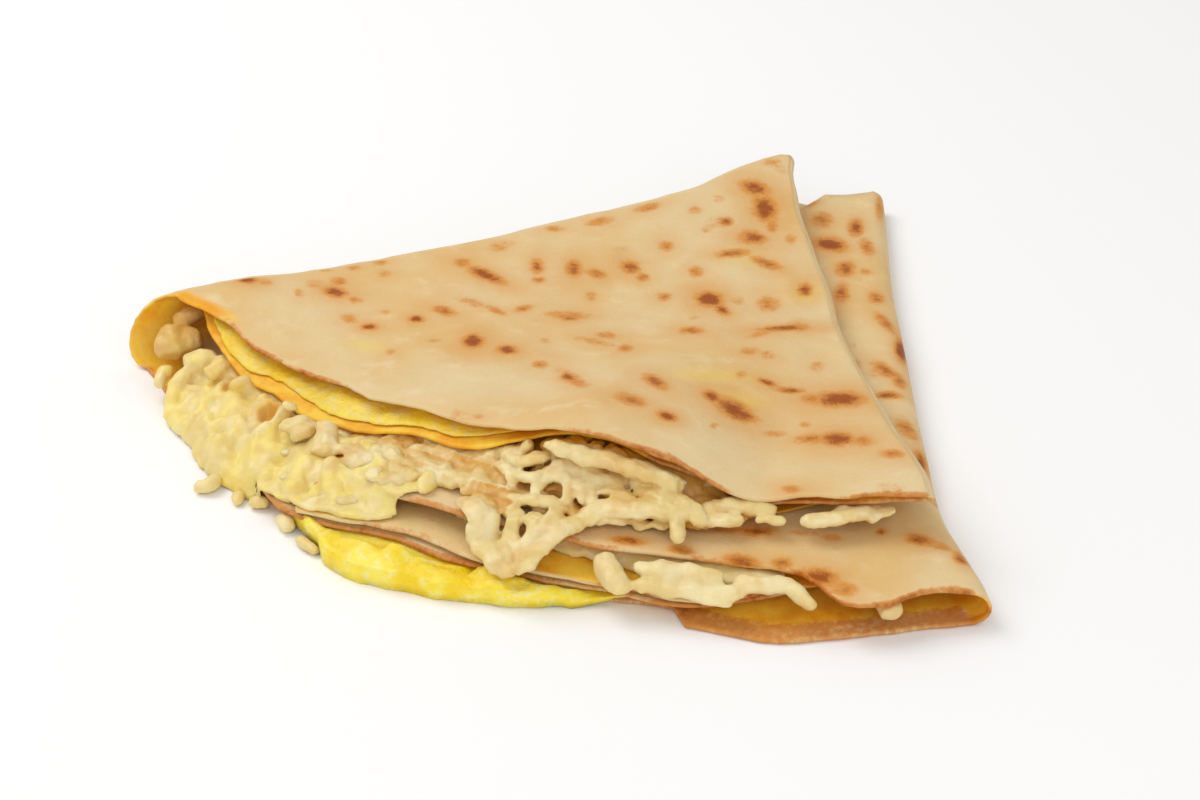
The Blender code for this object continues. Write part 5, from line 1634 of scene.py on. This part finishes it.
@dataclass
class CheeseHeap:
    """Main heap of grated cheese between the top flap and the leaves below, partly melted."""

    fold: Fold
    space: Space
    finish: bpy.types.Material
    start: Knots = ((3, 170), (14, 152), (25, 138), (37, 122), (43, 90), (60, 90))
    rim: Knots = (
        (3, 178), (8, 186), (13, 198), (20, 210), (30, 214), (38, 215), (42, 219), (48, 219), (54, 212),
        (58, 203),
    )
    face: Knots = ((3, 168), (12, 182), (20, 194), (30, 198), (40, 202), (50, 203), (58, 196))
    lip: float = 1.3
    edge_inset: float = 5.0
    packed_size: tuple[int, int] = (56, 180)
    melt_size: tuple[int, int] = (80, 170)
    solve_steps: int = 14
    line_steps: int = 12
    melt_rim: Knots = (
        (30, 210), (31.2, 219), (32.4, 225), (34, 229.5), (36, 232.3), (39, 234.2), (41.5, 233),
        (43.2, 232.4), (45, 233.4), (47.5, 233.2), (49.2, 231.8), (51, 229), (52.4, 229.6), (53.6, 229),
        (54.6, 225.5), (56, 219),
    )
    melt_height: Knots = (
        (0, 0.5), (0.7, 2.2), (2.2, 4.2), (4.5, 6.2), (8, 8.2), (13, 10.2), (20, 12), (34, 13),
    )
    melt_thick: Knots = ((0, 0.5), (0.8, 1.1), (3, 1.8), (7, 3.4), (11, 5.6), (15, 7.6), (22, 8.6), (32, 9))
    melt_turns: tuple[float, float] = (30.4, 56.0)
    melt_inner: float = 199.0
    corner: float = 3.4
    blanket_steps: int = 14
    patch: float = 1.8
    # Hollows of the melted sheet that get painted shade: turn, reach and radius.
    hollows: tuple = ((51.8, 212.2, 3.4), (46.9, 214.6, 3.6), (39.2, 218.4, 2.4), (35.6, 221.6, 2.0))
    spill: tuple[float, float, float, float] = (41.6, 43.4, 54.2, 56.2)
    fuller: float = 1.26
    shred_seed: int = 11
    shred_count: int = 190

    def top(self, turn: Grid, reach: Grid) -> Grid:
        """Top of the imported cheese: up to the flap inside, falling away to a lip in front."""
        floor = self.space.floor(turn, reach, self.lip)
        slot = self.fold.flap_underside(turn, reach) - 0.4 - floor
        share = 1 - ramp(reach, profile(turn, self.face), profile(turn, self.rim))
        return floor + np.maximum(self.lip, slot * share)

    def packed(self) -> bpy.types.Mesh:
        """Packed cheese that carries the shreds and fills the fold."""
        rows = spread(self.packed_size[0])[:, None] ** 0.7
        turn = 30.0 + 0 * rows

        def row_reach(at: Grid) -> Grid:
            """Reach of each row."""
            start = profile(at, self.start)
            return start + rows * (profile(at, self.rim) - start)

        for _ in range(self.solve_steps):
            reach = row_reach(turn)
            left = reach[:, -1:]
            right = reach[:, :1]
            bulge = profile(left, self.fold.left_bulge) + 1.0
            last = profile(left, self.fold.left_fold) - np.degrees(bulge / left)
            first = profile(right, self.fold.top_edge) + np.degrees(self.edge_inset / right)
            turn = first + (last - first) * spread(self.packed_size[1])
        reach = row_reach(turn)
        lower = self.space.floor(turn, reach, 3.0)
        spot = polar(turn, reach, 0 * reach)
        rough = (1.5 * lumps(spot, 6.0, 51.0, 3) - 1.2) * ramp(reach, 178, 198)
        upper = np.minimum(self.top(turn, reach) + rough, self.space.ceiling(turn, reach, 3.0))
        upper = np.maximum(lower + 0.6, upper)
        return slab_mesh("packed", turn, reach, upper, lower)

    def melt(self) -> bpy.types.Mesh:
        """Melted sheet of cheese on the bottom leaf, which runs over its edge at the left."""
        rows = spread(self.melt_size[0])[:, None] ** 0.8
        first = self.melt_turns[0] + 0.5 * np.sin(9 * rows) + self.corner * rows**3
        turn = first + (self.melt_turns[1] - first) * spread(self.melt_size[1])
        rim = profile(turn, self.melt_rim) + 0.7 * lumps(rim_place(turn, arc=3.9), 4.5, 61.0, 3)
        reach = self.melt_inner + (rim - self.melt_inner) * rows
        spilt = ramp(turn, *self.spill[:2]) * (1 - ramp(turn, *self.spill[2:]))
        runs = np.stack([turn * 3.9 + (reach - 215) * 0.5, (reach - 215) * 0.28, 0 * turn], axis=-1)
        spots = polar(turn, reach, 0 * reach)
        relief = 0.9 * lumps(runs, 4.6, 71.0, 2) + 2.0 * lumps(spots, 5.6, 77.0, 2)
        relief = relief + 0.7 * lumps(spots, 2.2, 78.0, 1)
        away = rim - reach
        floor = self.space.floor(turn, reach, 0.5)
        spilt_top = profile(away, self.melt_height)
        base = self.space.lowest(turn, reach, middle=False)
        laid_top = np.maximum(
            base + profile(away, self.melt_thick), self.space.floor(turn, reach, 2.2) + 0.5
        )
        laid_top = floor + (laid_top - floor) * ramp(turn - first, 0.0, 2.6)
        upper = laid_top + (np.maximum(spilt_top, floor + 0.9) - laid_top) * spilt
        for _ in range(self.blanket_steps):
            padded = np.pad(upper, 1, mode="edge")
            beside = padded[1:-1, 2:] + padded[1:-1, :-2] + padded[2:, 1:-1] + padded[:-2, 1:-1]
            upper = 0.2 * upper + 0.2 * beside
        upper = np.where(away < 2.0, np.minimum(upper, spilt_top + NO_LIMIT * (1 - spilt)), upper)
        upper = upper + relief * ramp(away, 0.0, 4.0) * (0.6 + 0.4 * spilt)
        upper = np.maximum(upper, floor + 0.9)
        lower = np.where(reach > 224, np.minimum(floor, np.maximum(upper - 1.2, 0.15)), floor)
        upper = np.minimum(upper, np.maximum(self.space.ceiling(turn, reach, 1.0), lower + 0.6))
        upper = np.maximum(upper, lower + 1.0)
        return slab_mesh("melt", turn, reach, upper, lower)

    def scattered(self) -> Grid:
        """Many shreds that lie on the heap in all directions, as turn, reach, height and half width."""
        draw = random.Random(self.shred_seed)
        drawn = []
        for _ in range(self.shred_count):
            place = (draw.uniform(13.0, 45.0), draw.uniform(-6.0, 1.2))
            shape = (draw.uniform(6.0, 14.0), draw.uniform(-1.5, 1.5), draw.uniform(-4.0, 4.0))
            rise = (draw.uniform(1.3, 2.1), draw.uniform(-1.2, 1.2), draw.uniform(-0.8, 0.8))
            drawn.append((*place, *shape, *rise))
        turn, inward, length, heading, bow, radius, lift, tilt = np.array(drawn).T[:, :, None]
        edge = profile(turn, self.rim)
        reach = profile(turn, self.face) + (edge - profile(turn, self.face)) * (1 + inward / 6)
        share = np.linspace(-0.5, 0.5, 5)[None, :]
        out = bow * (1 - 4 * share**2)
        along = np.minimum(reach + share * length * np.sin(heading) + out * np.cos(heading), edge + 2.0)
        at = turn + np.degrees((share * length * np.cos(heading) - out * np.sin(heading)) / along)
        height = self.top(at, along) + lift + tilt * 2 * share
        return np.stack([at, along, height, radius + 0 * at], axis=-1)

    def sunken(self, points: Grid) -> Grid:
        """How far each point lies behind the outermost cheese around it, in millimetres."""
        turn, reach = unpolar(points)
        beyond = reach - self.melt_inner
        along = np.radians(turn) * self.melt_inner
        across = 0.85 * points[:, 2] - 0.5 * beyond
        out = 0.85 * beyond + 0.5 * points[:, 2]
        column = ((along - along.min()) / self.patch).astype(int)
        row = ((across - across.min()) / self.patch).astype(int)
        outermost = np.full((row.max() + 1, column.max() + 1), out.min())
        np.maximum.at(outermost, (row, column), out)
        padded = np.pad(outermost, 1, mode="edge")
        rows, columns = outermost.shape
        near = [
            padded[down : down + rows, right : right + columns] for down in range(3) for right in range(3)
        ]
        return np.max(near, axis=0)[row, column] - out

    def numbers(self, mesh: bpy.types.Mesh, melted: float, base: float, sunken: Grid) -> None:
        """Keeps the painted shade, darker where the cheese lies deep in the fold, behind other cheese or in
        a hollow, and how buttery the cheese is at each point.

        Args:
            mesh: One body of the heap.
            melted: 1 on the melted sheet and 0 elsewhere.
            base: Painted shade that the whole body starts from.
            sunken: Distance of each point behind the outermost cheese.
        """
        points = to_numbers(mesh)
        turn, reach = unpolar(points)
        face = profile(turn, self.face)
        inside = 1 - ramp(reach, face - 5, face + 7)
        # Painted shade on the cheese inside the left fold's mouth.
        mouth = 0.6 * ramp(turn, 57.0, 59.0)
        sunk = ramp(sunken, 2.2, 7.5)
        # Painted shade: more where the cheese lies behind the heap's face or sunk behind other cheese.
        painted_shade = np.clip(base + inside + 0.85 * sunk, 0, 1) * (1 - melted * ramp(reach, 206, 213))
        spots = polar(turn, reach, 0 * reach)
        # Painted shade in the hollows of the melted sheet.
        for hollow_turn, hollow_reach, radius in self.hollows:
            centre = polar(hollow_turn, hollow_reach, 0.0)
            distance = np.linalg.norm(spots[:, :2] - centre[:2], axis=1)
            painted_shade = np.maximum(painted_shade, melted * 1.1 * np.exp(-((distance / radius) ** 2)))
        keep_numbers(mesh, "painted_shade", np.maximum(painted_shade, mouth))
        keep_numbers(mesh, "butter", 0.1 + 0.55 * melted * ramp(reach, 207, 215))

    def build(self) -> None:
        """The three finished pieces: packed cheese, melted sheet and shreds."""
        packed = self.packed()
        bits = [kept_clear(through(points_of(row), self.line_steps), self.space) for row in SOFT_BITS]
        soft = ShredTree("soft_bits", self.finish, flatness=0.85, waver=0.8, seed=2).grow(bits)
        melted = melt_together([self.melt(), soft], "melted", 0.55, 3)
        roughen(melted, 3.2, 0.4, 91.0)
        loose = list(kept_clear(through(self.scattered(), self.line_steps), self.space))
        fuller = np.array((1.0, 1.0, 1.0, self.fuller))
        for points in map(points_of, SHREDS):
            loose.append(kept_clear(through(points * fuller, 5 * len(points)), self.space))
        shreds = melt_together([ShredTree("shreds", self.finish, waver=0.7).grow(loose)], "shreds", 0.45, 2)
        roughen(shreds, 2.4, 0.36, 95.0)
        # Each body: name, mesh, melted share and the painted shade that it starts from.
        bodies = (("packed", packed, 0.0, 0.3), ("melted", melted, 1.0, 0.0), ("shreds", shreds, 0.0, -0.05))
        counts = [len(mesh.vertices) for _, mesh, _, _ in bodies]
        sunken = self.sunken(np.concatenate([to_numbers(mesh) for _, mesh, _, _ in bodies]))
        shares = np.split(sunken, np.cumsum(counts)[:-1])
        for (name, mesh, share, base), behind in zip(bodies, shares):
            self.numbers(mesh, share, base, behind)
            piece = new_piece(f"cheese_{name}", mesh, self.finish)
            report(piece, "cheese_heap", slot="cheese")


@dataclass
class LowerCheese:
    """Cheese between the two layers of the middle leaf, which shows below its edge in front."""

    fold: Fold
    finish: bpy.types.Material
    turns: tuple[float, float] = (10.4, 30.6)
    reaches: tuple[float, float] = (194.0, 219.0)
    size: tuple[int, int] = (34, 80)
    line_steps: int = 12
    drips: tuple = (
        ((20.8, 220.6, 10, 2.3), (20.2, 224, 9, 3), (19.4, 226.8, 7.8, 2.8), (18.8, 228.6, 6.6, 2.1)),
        ((18.9, 222, 9.6, 2), (17.5, 221.6, 9.4, 2.7), (16.1, 221, 9.4, 2.9), (14.8, 220.8, 9.2, 2.5),
         (13.8, 220.8, 9, 2.1)),
        ((18.7, 226.2, 7.6, 1.8), (17.2, 225.4, 7.8, 2.3), (15.3, 224.4, 7.6, 2.4), (13.6, 223.6, 7.6, 2.1),
         (12.4, 222.8, 7.6, 1.8)),
        ((13.1, 221.4, 8.6, 2), (11.9, 220.4, 8.8, 2.4), (10.8, 220, 8.8, 2.2), (10, 220.2, 8.6, 1.8)),
        ((11, 218.5, 9.4, 1.7), (10, 220.2, 8.8, 2), (9.1, 222.4, 7.8, 2), (8.5, 224.4, 6.8, 1.4)),
        ((15.4, 225.6, 7.2, 1.4), (13.8, 226, 6.8, 1.5), (12.9, 225.4, 6.8, 1.2)),
        ((4.9, 215.6, 6.8, 2.6), (4.5, 219.6, 6, 3.1), (4.2, 223.4, 5, 2.7)),
    )

    def build(self) -> bpy.types.Object:
        """The finished piece."""
        fold = self.fold
        turn = np.linspace(*self.turns, self.size[1])[None, :]
        reach = np.linspace(*self.reaches, self.size[0])[:, None] + 0 * turn
        turn = turn + 0 * reach
        lower = fold.middle_top(turn, reach) - SHEET - fold.gap(Leaf.MIDDLE, turn, reach) + CLEAR
        upper = fold.middle_top(turn, reach) - SHEET - CLEAR
        uneven = 0.3 * (1 + lumps(polar(turn, reach, 0 * reach), 4.0, 81.0, 2))
        upper = upper - (upper - lower - 0.8) * ramp(reach, 215, 221) - uneven * ramp(reach, 205, 214)
        slab = slab_mesh("lower", turn, reach, upper, lower)
        guides = [placed(through(np.array(drip), self.line_steps)) for drip in self.drips]
        shreds = ShredTree("lower_shreds", self.finish, waver=0.4, flatness=0.8, seed=9).grow(guides)
        mesh = melt_together([slab, shreds], "cheese_lower", 0.5, 2)
        roughen(mesh, 3.4, 0.35, 97.0)
        points = to_numbers(mesh)
        turn, reach = unpolar(points)
        # Painted shade under the middle leaf's edge, and a little at the right end.
        keep_numbers(mesh, "painted_shade", np.maximum(0.75 * (1 - ramp(reach, 204, 216)), 0.35 * (turn < 6)))
        keep_numbers(mesh, "butter", np.full(len(points), 0.1))
        piece = new_piece("cheese_under_edge", mesh, self.finish)
        report(piece, "cheese_lower", slot="cheese")
        return piece


@dataclass
class Crumbs:
    """Small bits of cheese that fell beside the crepe."""

    finish: bpy.types.Material
    bits: tuple = (
        ((46.4, 238.6, 1.5), (45.9, 237.4, 2.1), (45.9, 235.6, 2.2), (46.2, 234.2, 1.7)),
        ((43.5, 236.6, 1.1), (43.8, 235.2, 1.5), (44.1, 233.4, 1.4)),
        ((42.9, 234.4, 1.4), (42.5, 233.2, 1.8), (42, 232.4, 1.4)),
        ((40.2, 234.2, 1.7), (39.7, 235.4, 2.1), (39.2, 236.6, 1.6)),
        ((38.4, 237.2, 1), (37.4, 238.4, 1.4), (36.6, 239, 1.1)),
    )

    def build(self) -> bpy.types.Object:
        """The finished piece."""
        guides = []
        for bit in self.bits:
            turn, reach, radius = np.moveaxis(through(np.array(bit), 7), -1, 0)
            guides.append(placed(np.stack([turn, reach, radius * 0.8 + 0.2, radius], axis=-1)))
        tree = ShredTree("crumbs", self.finish, step=0.5, waver=0.9, sides=10, flatness=0.8, seed=4)
        mesh = tree.grow(guides)
        # No painted shade on the loose crumbs.
        keep_numbers(mesh, "painted_shade", np.zeros(len(mesh.vertices)))
        keep_numbers(mesh, "butter", np.full(len(mesh.vertices), 0.25))
        piece = new_piece("cheese_crumbs", mesh, self.finish)
        report(piece, "cheese_heap", slot="cheese")
        return piece


@dataclass
class Studio:
    """Camera, floor and soft lights."""

    camera_place: tuple[float, float, float] = (0.0171, -0.56824, 0.33379)
    camera_aim: tuple[float, float, float] = (0.0171, -0.0228, 0.0125)
    lens: float = 80.0
    sensor: float = 36.0
    floor_half: float = 3.0
    sky: float = 0.58
    tint: tuple[float, float, float] = (1.0, 0.98, 0.95)
    lamps: tuple = (("key", (-0.6, 0.35, 0.95), 0.8, 6.6), ("fill", (0.25, -1.0, 0.6), 1.2, 5.0))

    def aimed(self, name: str, data: Any, place: Sequence[float], aim: Sequence[float]) -> bpy.types.Object:
        """Camera or lamp at a place, turned towards another place."""
        made = in_scene(name, data)
        made.location = place
        made.rotation_euler = (Vector(aim) - Vector(place)).to_track_quat("-Z", "Y").to_euler()
        return made

    def camera(self) -> None:
        """Camera at the photograph's viewing angle."""
        data = bpy.data.cameras.new("camera")
        data.lens = self.lens
        data.sensor_width = self.sensor
        bpy.context.scene.camera = self.aimed("camera", data, self.camera_place, self.camera_aim)

    def lamp(self, name: str, place: Sequence[float], size: float, power: float) -> None:
        """One soft square lamp that points at the middle of the scene."""
        data = bpy.data.lights.new(name, "AREA")
        data.size = size
        data.energy = power
        data.color = self.tint
        self.aimed(name, data, place, (0.0, 0.0, 0.0))

    def floor(self) -> None:
        """Pale floor, well beyond the view."""
        half = self.floor_half
        corners = [(-half, -half, 0), (half, -half, 0), (half, half, 0), (-half, half, 0)]
        mesh = bpy.data.meshes.new("floor")
        mesh.from_pydata(corners, [], [(0, 1, 2, 3)])
        mesh.materials.append(FloorFinish().make())
        made = in_scene("floor", mesh)

    def build(self) -> None:
        """The whole studio."""
        self.camera()
        self.floor()
        for lamp in self.lamps:
            self.lamp(*lamp)
        world = bpy.data.worlds.new("studio")
        world.use_nodes = True
        sky = world.node_tree.nodes["Background"]
        sky.inputs["Color"].default_value = (1.0, 1.0, 1.0, 1.0)
        sky.inputs["Strength"].default_value = self.sky
        bpy.context.scene.world = world
        bpy.context.scene.view_settings.view_transform = "Standard"


def main() -> None:
    """Builds every piece and the studio."""
    logging.basicConfig(level=logging.INFO, format="%(message)s")
    Studio().build()
    fold = Fold()
    cheese = CheeseFinish().make()
    CrepeSheet(fold).build()
    EggLayer(fold).build()
    CheeseHeap(fold, Space(fold), cheese).build()
    LowerCheese(fold, cheese).build()
    Crumbs(cheese).build()


if __name__ == "__main__":
    main()
